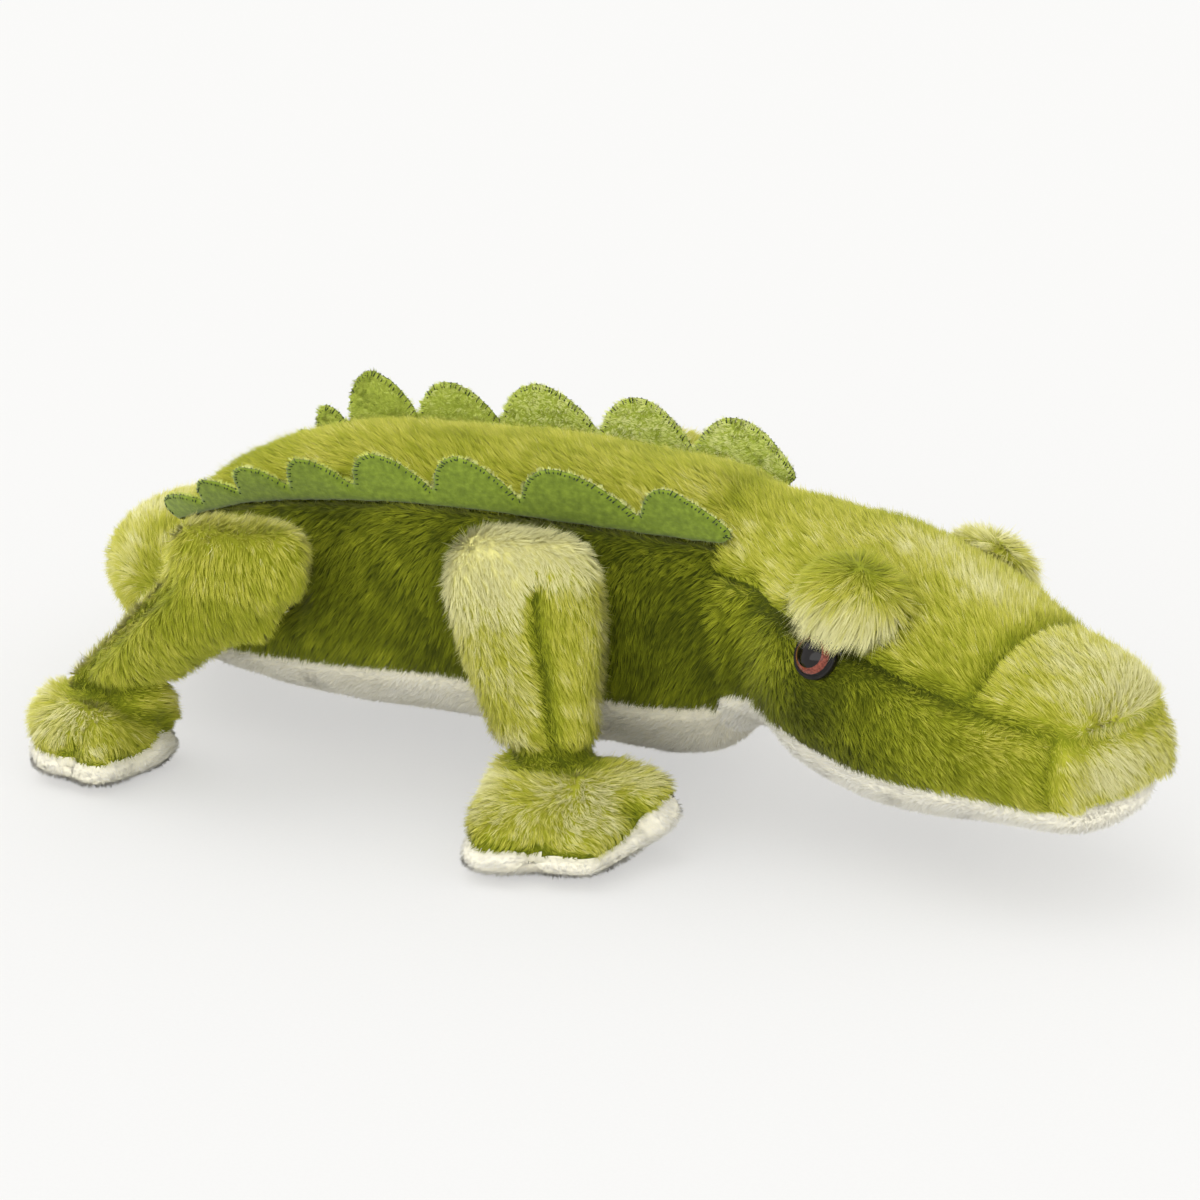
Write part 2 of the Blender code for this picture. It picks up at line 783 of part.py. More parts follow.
def arc(radius, height, steps):
    """Points of a quarter ellipse from the rim up to the axis."""
    quarter = math.pi / 2
    return [
        (radius * math.cos(quarter * k / steps), height * math.sin(quarter * k / steps))
        for k in range(steps)
    ] + [(0, height)]


def eye_profile():
    """From the stem's tip, over its ridges, the rim and the dome, to the top of the dome."""
    points = [(0, -STEM_LENGTH), (STEM_RADIUS, -STEM_LENGTH)]
    pitch = (STEM_LENGTH - CLOTH) / 4
    for ridge in range(1, 3):
        base = -STEM_LENGTH + pitch * ridge
        points += [(STEM_RADIUS, base), (STEM_RADIUS + STEM_RIDGE, base + STEM_RIDGE)]
        points += [(STEM_RADIUS, base + 2 * STEM_RIDGE)]
    points += [(STEM_RADIUS, 0), (EYE_RADIUS, 0)]
    return points + [(r, h + EYE_RIM) for r, h in arc(EYE_RADIUS, EYE_DOME, 6)]


def make_eye(side_name, sign, head_form, panels, filling, brow):
    """A safety eye in its seat, its washer behind the cloth, and the hole and hollow for them."""
    down = SNOUT_SEAM + EYE_DOWN_SHARE * (JAW_SEAM - SNOUT_SEAM)
    place, outward = on_form(head_form, head_ring(EYE_ALONG_SHARE), sign * down)
    back = place - outward * EYE_SEAT
    turned(f"{side_name}_eye", eye_profile(), back, outward, EYE_GLOSS)
    washer_face = -(CLOTH - EYE_SEAT) - WASHER_SINK
    hole = STEM_RADIUS + STEM_RIDGE + CLEARANCE
    washer = [
        (hole, washer_face - WASHER_THICKNESS),
        (WASHER_RADIUS, washer_face - WASHER_THICKNESS),
        (WASHER_RADIUS, washer_face),
        (hole, washer_face),
    ]
    turned(f"{side_name}_eye_washer", washer, back, outward, WASHER)
    seat = cylinder_helper(
        f"{side_name} eye seat",
        back - outward * CLEARANCE,
        back + outward * OVERRUN,
        EYE_RADIUS + CLEARANCE,
    )
    stem_hole = cylinder_helper(
        f"{side_name} stem hole", back - outward * (STEM_LENGTH + CLEARANCE), back, hole
    )
    washer_hollow = cylinder_helper(
        f"{side_name} washer hollow",
        back + outward * (washer_face - WASHER_THICKNESS - CLEARANCE),
        back + outward * OVERRUN,
        WASHER_RADIUS + CLEARANCE,
    )
    for cloth in panels:
        boolean(cloth, seat, "DIFFERENCE")
        boolean(cloth, stem_hole, "DIFFERENCE")
    boolean(filling, washer_hollow, "DIFFERENCE")
    boolean(filling, stem_hole, "DIFFERENCE")
    boolean(brow, seat, "DIFFERENCE")


def make_brow(side_name, sign, head_form):
    """A fur pad over the eye, hollowed to sit on the head."""
    ahead = Vector((math.cos(HEAD_TURN), math.sin(HEAD_TURN), 0))
    sag = LEFT_BROW_SAG if sign > 0 else 0
    place = head_place(BROW_ALONG, sign * BROW_LEFT, BROW_HEIGHT - sag)
    turn = ahead.to_track_quat("X", "Z").to_matrix().to_4x4()

    def build(shape):
        bmesh.ops.create_icosphere(shape, subdivisions=2, radius=1)
        size = (BROW_HALF_LENGTH, BROW_HALF_WIDTH, BROW_HALF_HEIGHT)
        bmesh.ops.scale(shape, vec=size, verts=shape.verts)
        bmesh.ops.transform(shape, matrix=Matrix.Translation(place) @ turn, verts=shape.verts)

    brow = make_object(f"{side_name}_brow_pad", build, GREEN_FUR)
    return brow


# Scutes of each strip from rump to neck: length and height. Each rises steeply on its tail side
# to a round top, and slopes down toward the neck.
RIGHT_SCUTE_SHARES = (
    (20, 0.45), (18, 0.60), (20, 0.75), (22, 0.86), (26, 0.95), (28, 1.00), (38, 1.00), (28, 0.95)
)
LEFT_SCUTE_SHARES = (
    (6, 0.30), (9, 0.50), (14, 0.75), (25, 1.12), (30, 0.85), (37, 0.92), (37, 0.92), (42, 0.92)
)
SCUTE_POINT_SHARES = (0.0, 0.03, 0.09, 0.18, 0.30, 0.45, 0.62, 0.80, 0.93)
SCUTE_VALLEY_SHARE = 0.16
SCUTE_SKEW = 0.62
SCUTE_FULLNESS = 0.78


def scute_outline(scutes):
    """(share of the strip's length, share of the full height) along the scalloped edge."""
    total = sum(length for length, _ in scutes)
    points, start = [], 0
    for length, height in scutes:
        for share in SCUTE_POINT_SHARES:
            swell = math.sin(math.pi * share**SCUTE_SKEW) ** SCUTE_FULLNESS
            rise = SCUTE_VALLEY_SHARE + (1 - SCUTE_VALLEY_SHARE) * swell
            points.append(((start + length * share) / total, rise * height))
        start += length
    points.append((1.0, SCUTE_VALLEY_SHARE))
    return points


def scute_strip(name, form, sign, scutes):
    """One scalloped strip, its root in the seam and its scutes leaning out over the side."""
    column, belly_side, back_side = sign * BACK_SEAM, sign * (BACK_SEAM + 1), sign * (BACK_SEAM - 1)
    line = []
    for ring, normals in zip(form.rings, form.normals):
        seam = ring[column]
        down = (ring[belly_side] - seam).normalized()
        up = (ring[back_side] - seam).normalized()
        line.append((seam, normals[column], down, up))
    lengths = [0.0]
    for (a, *_), (b, *_) in zip(line, line[1:]):
        lengths.append(lengths[-1] + (b - a).length)

    def at(distance):
        for k in range(len(line) - 1):
            if distance <= lengths[k + 1] or k == len(line) - 2:
                t = (distance - lengths[k]) / (lengths[k + 1] - lengths[k])
                return [a.lerp(b, t) for a, b in zip(line[k], line[k + 1])]

    def section(share, rise):
        """Points round the strip: down its outer face and up its inner face."""
        span = lengths[-1] - 2 * SCUTE_END_GAP
        seam, normal, down, up = at(SCUTE_END_GAP + span * share)
        half = SCUTE_THICKNESS / 2
        lean = normal * math.cos(SCUTE_LEAN) + down * math.sin(SCUTE_LEAN)
        square = down * math.cos(SCUTE_LEAN) - normal * math.sin(SCUTE_LEAN)
        root = seam - normal * CLOTH
        tip = seam + lean * SCUTE_HEIGHT * rise
        middle = seam + lean * (SCUTE_HEIGHT * rise / 2)
        return [
            root + down * half,
            seam + down * half,
            middle + square * half,
            tip + square * half / 2,
            tip - square * half / 2,
            middle - square * half,
            seam + up * half,
            root + up * half,
        ]

    sections = [section(*point) for point in scute_outline(scutes)]

    def build(shape):
        grid = [[shape.verts.new(p) for p in points] for points in sections]
        count = len(grid[0])
        for lower, upper in zip(grid, grid[1:]):
            for i in range(count):
                k = (i + 1) % count
                shape.faces.new((lower[i], lower[k], upper[k], upper[i]))
        for end in (grid[0], grid[-1]):
            for k in range(count // 2 - 1):
                shape.faces.new((end[k], end[k + 1], end[count - 2 - k], end[count - 1 - k]))

    return make_object(name, build, SCUTE_SUEDE)


def make_torso():
    torso = make_torso_form()
    whole = (0, len(torso.rings) - 1)
    scute = SCUTE_THICKNESS / 2 + CLEARANCE
    plain = CLEARANCE / 2
    parts = {
        "torso_filling": core("torso_filling", torso, CLOTH + CLEARANCE, FILLING),
        "back_panel": panel(
            "back_panel", torso, whole, (-BACK_SEAM, BACK_SEAM), GREEN_FUR, (scute, scute)
        ),
        "left_side_panel": panel(
            "left_side_panel", torso, whole, (BACK_SEAM, BELLY_SEAM), GREEN_FUR, (scute, plain)
        ),
        "right_side_panel": panel(
            "right_side_panel", torso, whole, (-BELLY_SEAM, -BACK_SEAM), GREEN_FUR, (plain, scute)
        ),
        "belly_panel": panel(
            "belly_panel", torso, whole, (BELLY_SEAM, TORSO_AROUND - BELLY_SEAM), WHITE_PLUSH
        ),
        "left_scute_strip": scute_strip("left_scute_strip", torso, 1, LEFT_SCUTE_SHARES),
        "right_scute_strip": scute_strip("right_scute_strip", torso, -1, RIGHT_SCUTE_SHARES),
    }
    neck, _, _ = torso_point(1)
    neck_hollow = ellipsoid_cutter(
        "neck hollow",
        neck + Vector((0, 0, NECK_HEIGHT)),
        NECK_RADIUS + HOLLOW_CLEARANCE,
        NECK_HALF_HEIGHT + HOLLOW_CLEARANCE,
    )
    rump, _, _ = torso_point(0)
    tail_hollow = ellipsoid_cutter(
        "tail hollow",
        rump + Vector((0, 0, TAIL_ROOT_HEIGHT)),
        TAIL_ROOT_RADIUS + HOLLOW_CLEARANCE,
        TAIL_ROOT_HALF_HEIGHT + HOLLOW_CLEARANCE,
    )
    boolean(parts["torso_filling"], neck_hollow, "DIFFERENCE")
    boolean(parts["torso_filling"], tail_hollow, "DIFFERENCE")
    return parts


def make_head():
    head = make_head_form()
    start, end = len(BARE_STUMP_SHARES), len(head.rings)
    bridge, nose = round(head_ring(BRIDGE_SHARE)), round(head_ring(NOSE_SHARE))
    top, left, right = (-SNOUT_SEAM, SNOUT_SEAM), (SNOUT_SEAM, JAW_SEAM), (-JAW_SEAM, -SNOUT_SEAM)
    under = (JAW_SEAM, TORSO_AROUND - JAW_SEAM)
    parts = {
        "head_filling": core("head_filling", head, CLOTH + CLEARANCE, FILLING),
        "crown_panel": panel("crown_panel", head, (start, bridge), top, GREEN_FUR),
        "snout_panel": panel("snout_panel", head, (bridge, nose), top, GREEN_FUR),
        "nose_panel": panel("nose_panel", head, (nose, end), (-JAW_SEAM, JAW_SEAM), GREEN_FUR),
        "left_cheek_panel": panel("left_cheek_panel", head, (start, nose), left, GREEN_FUR),
        "right_cheek_panel": panel("right_cheek_panel", head, (start, nose), right, GREEN_FUR),
        "jaw_panel": panel("jaw_panel", head, (start, end), under, WHITE_PLUSH),
    }
    skull = core("head clearance", head, -CLEARANCE, HELPER)
    skull.hide_render = True
    skull.display_type = "WIRE"
    for side_name, sign in (("left", 1), ("right", -1)):
        brow = make_brow(side_name, sign, head)
        boolean(brow, skull, "DIFFERENCE")
        parts[brow.name] = brow
        panels = (parts[f"{side_name}_cheek_panel"], parts["crown_panel"])
        make_eye(side_name, sign, head, panels, parts["head_filling"], brow)
        for piece in ("eye", "eye_washer"):
            parts[f"{side_name}_{piece}"] = bpy.data.objects[f"{side_name}_{piece}"]
    return parts


def make_tail():
    tail = make_tail_form()
    span = (len(BARE_STUMP_SHARES), len(tail.rings))
    seam = TAIL_UNDER_SEAM
    return {
        "tail_filling": core("tail_filling", tail, CLOTH + CLEARANCE, FILLING),
        "tail_top_panel": panel("tail_top_panel", tail, span, (-seam, seam), GREEN_FUR),
        "tail_under_panel": panel(
            "tail_under_panel", tail, span, (seam, TAIL_AROUND - seam), WHITE_PLUSH
        ),
    }


def make_leg(name, leg, torso):
    """A leg's sole, foot, two fur panels and filling, with its stump in the flank."""
    form = make_leg_form(leg)
    seam_ring = len(SOLE_SHARES)
    ankle_ring = seam_ring + len(FOOT_SHARES) - 1
    end = len(form.rings)
    seam = leg["seam_point"]
    far_seam = seam + LEG_AROUND // 2
    filling = core(f"{name}_filling", form, CLOTH + CLEARANCE, FILLING)
    parts = {
        filling.name: filling,
        f"{name}_sole": panel(f"{name}_sole", form, (-1, seam_ring), None, WHITE_PLUSH),
        f"{name}_foot_top": panel(f"{name}_foot_top", form, (seam_ring, ankle_ring), None, GREEN_FUR),
        f"{name}_front_panel": panel(
            f"{name}_front_panel", form, (ankle_ring, end), (seam, far_seam), GREEN_FUR
        ),
        f"{name}_rear_panel": panel(
            f"{name}_rear_panel", form, (ankle_ring, end), (far_seam, seam + LEG_AROUND), GREEN_FUR
        ),
    }
    side, height = leg["side"], leg["pivot_height"]

    def at(left):
        return Vector((leg["top_forward"], side * left, height))

    middle = leg["flank"] + CLEARANCE + LEG_HALF_THICKNESS
    stump = cylinder_helper(f"{name} stump", at(leg["flank"] - SOCKET_DEPTH), at(middle), STUMP_RADIUS)
    hole = cylinder_helper(
        f"{name} socket",
        at(leg["flank"] - SOCKET_DEPTH - CLEARANCE),
        at(middle),
        STUMP_RADIUS + CLEARANCE,
    )
    for key in (f"{name}_front_panel", f"{name}_rear_panel"):
        boolean(parts[key], hole, "DIFFERENCE")
    boolean(filling, stump, "UNION")
    side_panel = torso["left_side_panel" if side > 0 else "right_side_panel"]
    boolean(side_panel, hole, "DIFFERENCE")
    boolean(torso["torso_filling"], hole, "DIFFERENCE")
    return parts, at(leg["flank"])


def carry(name, place, parts, origin):
    """Puts a body's pieces under an empty that stands on the line that they turn about."""
    pivot = bpy.data.objects.new(name, None)
    pivot.location = place
    pivot.parent = origin
    bpy.context.scene.collection.objects.link(pivot)
    for obj in parts:
        obj.parent = pivot
        obj.matrix_parent_inverse = Matrix.Translation(-place)
    bpy.context.view_layer.update()
    print(name, "at", [round(v, 5) for v in pivot.matrix_world.translation])


clear_scene()
HELPER = cloth_material("helper", (0.5, 0.5, 0.5))
GREEN_FUR = cloth_material("green fur", (0.28, 0.36, 0.05))
WHITE_PLUSH = cloth_material("white plush", (0.86, 0.85, 0.79))
FILLING = cloth_material("polyester filling", (0.90, 0.90, 0.88))
SCUTE_SUEDE = cloth_material("scute suede", (0.20, 0.40, 0.07))
EYE_GLOSS = cloth_material("eye", (0.02, 0.012, 0.01), 0.08)
WASHER = cloth_material("washer", (0.85, 0.85, 0.85), 0.5)

crocodile = bpy.data.objects.new("crocodile", None)
crocodile.location = (-ORIGIN_FORWARD, -ORIGIN_LEFT, 0)
bpy.context.scene.collection.objects.link(crocodile)
torso_parts = make_torso()
carry("torso", Vector((0, 0, 0)), torso_parts.values(), crocodile)
carry("head", head_place(0, 0, NECK_HEIGHT), make_head().values(), crocodile)
tail_root, _, _ = torso_point(0)
carry("tail", tail_root + Vector((0, 0, TAIL_ROOT_HEIGHT)), make_tail().values(), crocodile)
for leg_name, leg_sizes in LEGS.items():
    leg_parts, leg_pivot = make_leg(leg_name, leg_sizes, torso_parts)
    carry(leg_name, leg_pivot, leg_parts.values(), crocodile)
for obj in bpy.data.objects:
    if obj.hide_render:
        obj.parent = crocodile
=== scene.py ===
# %% [markdown]
# A plush crocodile, dressed for its portrait.
# The imported model gives every sewn piece its true size and place. This script
# grows the skin, the pile, the scutes' trim and the eyes round it.
# We begin by loading that model.

import bmesh
import bpy
import json
import math
import numpy as np
from mathutils import Matrix, Vector
from mathutils.bvhtree import BVHTree
from mathutils.kdtree import KDTree


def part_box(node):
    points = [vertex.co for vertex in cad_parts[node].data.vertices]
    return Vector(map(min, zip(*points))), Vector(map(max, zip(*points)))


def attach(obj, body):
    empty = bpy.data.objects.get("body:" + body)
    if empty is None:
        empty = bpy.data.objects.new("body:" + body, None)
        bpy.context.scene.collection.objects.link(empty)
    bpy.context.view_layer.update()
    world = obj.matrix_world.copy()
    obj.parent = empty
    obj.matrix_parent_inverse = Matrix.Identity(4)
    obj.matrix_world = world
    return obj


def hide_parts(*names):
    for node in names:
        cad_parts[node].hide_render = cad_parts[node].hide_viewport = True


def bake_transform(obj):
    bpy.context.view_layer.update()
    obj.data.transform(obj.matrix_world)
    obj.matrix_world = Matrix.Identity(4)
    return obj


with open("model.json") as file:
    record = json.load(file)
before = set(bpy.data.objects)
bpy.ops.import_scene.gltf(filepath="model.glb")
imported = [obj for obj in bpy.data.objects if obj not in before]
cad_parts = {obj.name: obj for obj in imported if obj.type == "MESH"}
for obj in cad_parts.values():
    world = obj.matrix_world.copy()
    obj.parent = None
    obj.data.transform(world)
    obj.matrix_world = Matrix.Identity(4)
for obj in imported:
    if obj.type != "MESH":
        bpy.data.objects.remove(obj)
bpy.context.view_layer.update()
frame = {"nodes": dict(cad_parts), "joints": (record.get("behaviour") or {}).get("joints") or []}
nodes = frame["nodes"]
joints = {joint["name"]: joint for joint in frame["joints"]}
scene = bpy.context.scene

# %% [markdown]
# The portrait is taken from the toy's right side and slightly above, with a long
# lens. A camera's matrix is just its right, up and backward directions and its
# place, so we work those out and set them directly.

# %% Camera
CAMERA_AZIMUTH = math.radians(15.5)
CAMERA_HEIGHT_ANGLE = math.radians(19.0)
CAMERA_DISTANCE = 1.5
SENSOR_MM = 36
FRAME_PIXELS = 1200
PIXELS_PER_METRE = 3000
AIM_POINT = Vector((-0.0544, -0.0459, 0.0))
AIM_PIXEL = (460, 745)

sin_a, cos_a = math.sin(CAMERA_AZIMUTH), math.cos(CAMERA_AZIMUTH)
sin_e, cos_e = math.sin(CAMERA_HEIGHT_ANGLE), math.cos(CAMERA_HEIGHT_ANGLE)
view_right = Vector((cos_a, sin_a, 0))
view_forward = Vector((-sin_a * cos_e, cos_a * cos_e, -sin_e))
view_up = view_right.cross(view_forward)



def linked(name, data):
    """A new object in the scene, with this mesh, lamp or camera as its data."""
    made = bpy.data.objects.new(name, data)
    scene.collection.objects.link(made)
    return made


camera_data = bpy.data.cameras.new("portrait_camera")
camera_data.sensor_width = SENSOR_MM
camera_data.lens = SENSOR_MM * PIXELS_PER_METRE * CAMERA_DISTANCE / FRAME_PIXELS
camera_data.clip_end = 100
camera = linked("portrait_camera", camera_data)
half_frame = FRAME_PIXELS / 2
eye_point = AIM_POINT - view_right * ((AIM_PIXEL[0] - half_frame) / PIXELS_PER_METRE)
eye_point += view_up * ((AIM_PIXEL[1] - half_frame) / PIXELS_PER_METRE)
eye_point -= view_forward * CAMERA_DISTANCE
turn = Matrix((view_right, view_up, -view_forward)).transposed().to_4x4()
camera.matrix_world = Matrix.Translation(eye_point) @ turn
scene.camera = camera
print("lens", round(camera_data.lens, 1), "mm")


def sight_line(pixel):
    """The way that the camera looks through one pixel of its frame."""
    across, down = pixel[0] - half_frame, pixel[1] - half_frame
    way = view_forward * PIXELS_PER_METRE * CAMERA_DISTANCE
    return (way + view_right * across - view_up * down).normalized()


# %% [markdown]
# Materials are node trees, and a few small helpers keep them short to write.
# Colours are given as a picture shows them, and turned into light here.

# %% Node helpers
def filled(made, values):
    """The node, with these values in its inputs."""
    for key, value in values.items():
        made.inputs[key].default_value = value
    return made


def node(tree, kind, values=None, **settings):
    made = tree.nodes.new(kind)
    for key, value in settings.items():
        setattr(made, key, value)
    return filled(made, values or {})


def wired(tree, *pairs):
    for source, target in pairs:
        tree.links.new(source, target)


def material(name, roughness, sheen, specular):
    made = bpy.data.materials.new(name)
    made.use_nodes = True
    shader = filled(made.node_tree.nodes["Principled BSDF"], {
        "Roughness": roughness, "Sheen Weight": sheen, "Sheen Roughness": 0.5,
        "Specular IOR Level": specular,
    })
    return made, made.node_tree, shader


def linear(red, green, blue):
    """A colour as a picture shows it, 0 to 255, as the light that Blender mixes."""
    steps = [channel / 255 for channel in (red, green, blue)]
    return tuple(
        s / 12.92 if s <= 0.04045 else ((s + 0.055) / 1.055) ** 2.4 for s in steps
    ) + (1.0,)


def ramp(tree, stops):
    made = node(tree, "ShaderNodeValToRGB")
    elements = made.color_ramp.elements
    while len(elements) < len(stops):
        elements.new(0.5)
    for element, (place, colour) in zip(elements, stops):
        element.position = place
        element.color = linear(*colour)
    return made


def noise(tree, scale, detail):
    """A noise node that is fixed to the piece, so that it stays put when the piece moves."""
    place = node(tree, "ShaderNodeTexCoord")
    made = node(tree, "ShaderNodeTexNoise", {"Scale": scale, "Detail": detail})
    wired(tree, (place.outputs["Object"], made.inputs["Vector"]))
    return made


def mottled(name, surface, grain, stops, bumps=None):
    """A material whose colour wanders between the stops, with bumps if they are given."""
    made, tree, shader = material(name, *surface)
    texture, colours = noise(tree, *grain), ramp(tree, stops)
    wired(tree, (texture.outputs["Fac"], colours.inputs["Fac"]),
          (colours.outputs["Color"], shader.inputs["Base Color"]))
    if bumps:
        texture, (strength, distance) = noise(tree, *bumps[:2]), bumps[2:]
        bump = node(tree, "ShaderNodeBump", {"Strength": strength, "Distance": distance})
        wired(tree, (texture.outputs["Fac"], bump.inputs["Height"]),
              (bump.outputs["Normal"], shader.inputs["Normal"]))
    return made


# %% [markdown]
# The studio is a wide sheet of white paper under a bright, slightly warm room.
# A Light Path node lets the camera's own rays see the room as paper white and
# the paper's shadow opened up, while the light on the toy stays at a plain
# level. One soft lamp is above left, and a wide low one in front fills in.

# %% Studio
scene.view_settings.view_transform = "Standard"

FLOOR_RADIUS = 6.0
PAPER_WHITE = 0.86
PAPER_SHARE = 0.58
PAPER_COLOUR = (1.0, 0.995, 0.985, 1.0)
SKY_STRENGTH = 1.04
SKY_COLOUR = (1.0, 0.995, 0.975, 1.0)
SEEN_SKY_STRENGTH = 0.985
SEEN_SKY_COLOUR = (1.0, 1.0, 1.0, 1.0)


def picture_rays(tree):
    """1 for rays from the camera, and for those that it sees mirrored or through glass."""
    path = node(tree, "ShaderNodeLightPath")
    total = path.outputs["Is Camera Ray"]
    for kind in ("Is Glossy Ray", "Is Transmission Ray"):
        add = node(tree, "ShaderNodeMath", operation="ADD", use_clamp=True)
        wired(tree, (total, add.inputs[0]), (path.outputs[kind], add.inputs[1]))
        total = add.outputs[0]
    return total


def shown_instead(tree, share, plain, seen, out):
    """Mixes two shaders, so that picture rays see this share of the second."""
    part = node(tree, "ShaderNodeMath", {1: share}, operation="MULTIPLY")
    mix = node(tree, "ShaderNodeMixShader")
    wired(tree, (picture_rays(tree), part.inputs[0]), (part.outputs[0], mix.inputs["Fac"]),
          (plain.outputs[0], mix.inputs[1]), (seen.outputs[0], mix.inputs[2]),
          (mix.outputs[0], out.inputs["Surface"]))


def mesh_of(form, name):
    """The mesh of a finished bmesh."""
    mesh = bpy.data.meshes.new(name)
    form.to_mesh(mesh)
    form.free()
    return mesh


paper = mottled("studio_paper", (0.9, 0.0, 0.0), (900, 2), [
    (0.3, (235, 235, 235)), (0.7, (238, 238, 238))])
paper_tree = paper.node_tree
opened = node(
    paper_tree, "ShaderNodeEmission", {"Color": PAPER_COLOUR, "Strength": PAPER_WHITE}
)
shown_instead(paper_tree, PAPER_SHARE, paper_tree.nodes["Principled BSDF"], opened,
              paper_tree.nodes["Material Output"])
floor_form = bmesh.new()
bmesh.ops.create_circle(floor_form, cap_ends=True, segments=96, radius=FLOOR_RADIUS)
floor = linked("studio_floor", mesh_of(floor_form, "studio_floor"))
floor.data.materials.append(paper)

scene.world = bpy.data.worlds.new("studio_sky")
scene.world.use_nodes = True
sky = scene.world.node_tree
sky.nodes.clear()
room_light, room_seen = (
    node(sky, "ShaderNodeBackground", {"Color": colour, "Strength": strength})
    for colour, strength in (
        (SKY_COLOUR, SKY_STRENGTH), (SEEN_SKY_COLOUR, SEEN_SKY_STRENGTH))
)
shown_instead(sky, 1.0, room_light, room_seen, node(sky, "ShaderNodeOutputWorld"))


def soft_sun(name, strength, spread, toward, colour):
    """A large soft lamp at any distance. toward is the way that its light travels."""
    data = bpy.data.lights.new(name, "SUN")
    data.energy = strength
    data.angle = math.radians(spread)
    data.color = colour
    linked(name, data).rotation_euler = toward.to_track_quat("-Z", "Y").to_euler()


level_forward = Vector((view_forward.x, view_forward.y, 0))
over_left = view_right * 0.40 - view_forward * 0.15 - Vector((0, 0, 1.0))
from_front = level_forward + view_right * 0.25 - Vector((0, 0, 0.10))
soft_sun("key_softbox", strength=0.62, spread=60, toward=over_left, colour=(1.0, 1.0, 1.0))
soft_sun("fill_softbox", strength=1.40, spread=70, toward=from_front, colour=(1.0, 1.0, 0.98))

# %% [markdown]
# Under the pile, a stuffed toy is one smooth skin, pulled in along its seams.
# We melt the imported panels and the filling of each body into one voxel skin. A
# cloth simulation then stuffs it: pressure pushes the panels out, while the
# seams are pinned. The way any point moves is capped, so the toy keeps its size.

# %% Mesh helpers
def joined_mesh(name, names):
    form = bmesh.new()
    for each in names:
        form.from_mesh(nodes[each].data)
    bmesh.ops.remove_doubles(form, verts=form.verts, dist=0.00001)
    return mesh_of(form, name)


def applied(obj):
    """The object's mesh with its modifiers worked out, and none left on it."""
    graph = bpy.context.evaluated_depsgraph_get()
    mesh = bpy.data.meshes.new_from_object(obj.evaluated_get(graph))
    obj.modifiers.clear()
    old, obj.data = obj.data, mesh
    bpy.data.meshes.remove(old)
    return mesh


def rows(items, key, width=3, kind=float):
    """What every item of a mesh says under this key, one row for each."""
    found = np.empty(len(items) * width, dtype=kind)
    items.foreach_get(key, found)
    return found.reshape(-1, width)


def places(mesh):
    return rows(mesh.vertices, "co")


def outward(mesh):
    return rows(mesh.vertices, "normal")


def put_places(mesh, points):
    mesh.vertices.foreach_set("co", points.ravel())
    mesh.update()


def pushed(mesh, amounts):
    """Moves each point of the mesh out along its normal by its own amount."""
    put_places(mesh, places(mesh) + outward(mesh) * np.reshape(amounts, (-1, 1)))


def held(values):
    return np.clip(values, 0, 1)


def bell(away, width):
    """1 where away is 0, and near 0 from about this width on."""
    return np.exp(-((away / width) ** 2))


def triangles_in(mesh):
    mesh.calc_loop_triangles()
    return rows(mesh.loop_triangles, "vertices", kind=np.int64)


def surface_of(mesh):
    return BVHTree.FromPolygons(places(mesh).tolist(), triangles_in(mesh).tolist())


def evened(mesh, weight, rounds):
    """Evens the surface out where weight is near 1, as stuffing fills a fold."""
    ends = rows(mesh.edges, "vertices", 2, np.int64)
    points = places(mesh)
    count = np.bincount(ends.ravel(), minlength=len(points))[:, None]
    for _ in range(rounds):
        total = np.zeros_like(points)
        np.add.at(total, ends[:, 0], points[ends[:, 1]])
        np.add.at(total, ends[:, 1], points[ends[:, 0]])
        points = points + (total / count - points) * weight[:, None] * 0.5
    put_places(mesh, points)


def melted(obj, voxel, rounds):
    """The object as one closed skin, at this voxel size, smoothed a few times."""
    melt = obj.modifiers.new("Melt", "REMESH")
    melt.mode = "VOXEL"
    melt.voxel_size = voxel
    melt.use_smooth_shade = True
    smooth = obj.modifiers.new("Smooth", "SMOOTH")
    smooth.factor = 0.5
    smooth.iterations = rounds
    return applied(obj)


# %% [markdown]
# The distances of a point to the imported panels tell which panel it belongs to,
# and how near a seam it is: on a seam the nearest two are equally far. Between
# two bodies, and at the top of the nose, the cloth only folds, so there the seam
# counts for much less.

# %% Panels and seams
TORSO_PANELS = ["back_panel", "left_side_panel", "right_side_panel", "belly_panel"]
HEAD_PANELS = ["crown_panel", "snout_panel", "nose_panel", "left_cheek_panel"]
HEAD_PANELS += ["right_cheek_panel", "jaw_panel"]
TAIL_PANELS = ["tail_top_panel", "tail_under_panel"]
TRUNK_PANELS = TORSO_PANELS + HEAD_PANELS + TAIL_PANELS
WHITE_PANELS = {"belly_panel", "jaw_panel", "tail_under_panel"}
LEGS = ["front_right_leg", "front_left_leg", "rear_right_leg", "rear_left_leg"]
LEG_PARTS = ["front_panel", "rear_panel", "foot_top", "sole"]
MUZZLE_PANELS = ("snout_panel", "nose_panel")
FOLD_SHARE = 0.20

LEG_PANELS = {leg: [leg + "_" + part for part in LEG_PARTS] for leg in LEGS}
BODY_PANELS = dict(LEG_PANELS, torso=TORSO_PANELS, head=HEAD_PANELS, tail=TAIL_PANELS)
body_number = {
    panel: number for number, panels in enumerate(BODY_PANELS.values()) for panel in panels
}
panel_trees = {}


def panel_distances(points, names):
    """How far each point is from each sewn panel: one column for each panel."""
    found = np.empty((len(points), len(names)))
    for column, name in enumerate(names):
        if name not in panel_trees:
            panel_trees[name] = surface_of(nodes[name].data)
        nearest = panel_trees[name].find_nearest
        found[:, column] = [nearest(Vector(p))[3] for p in points]
    return found


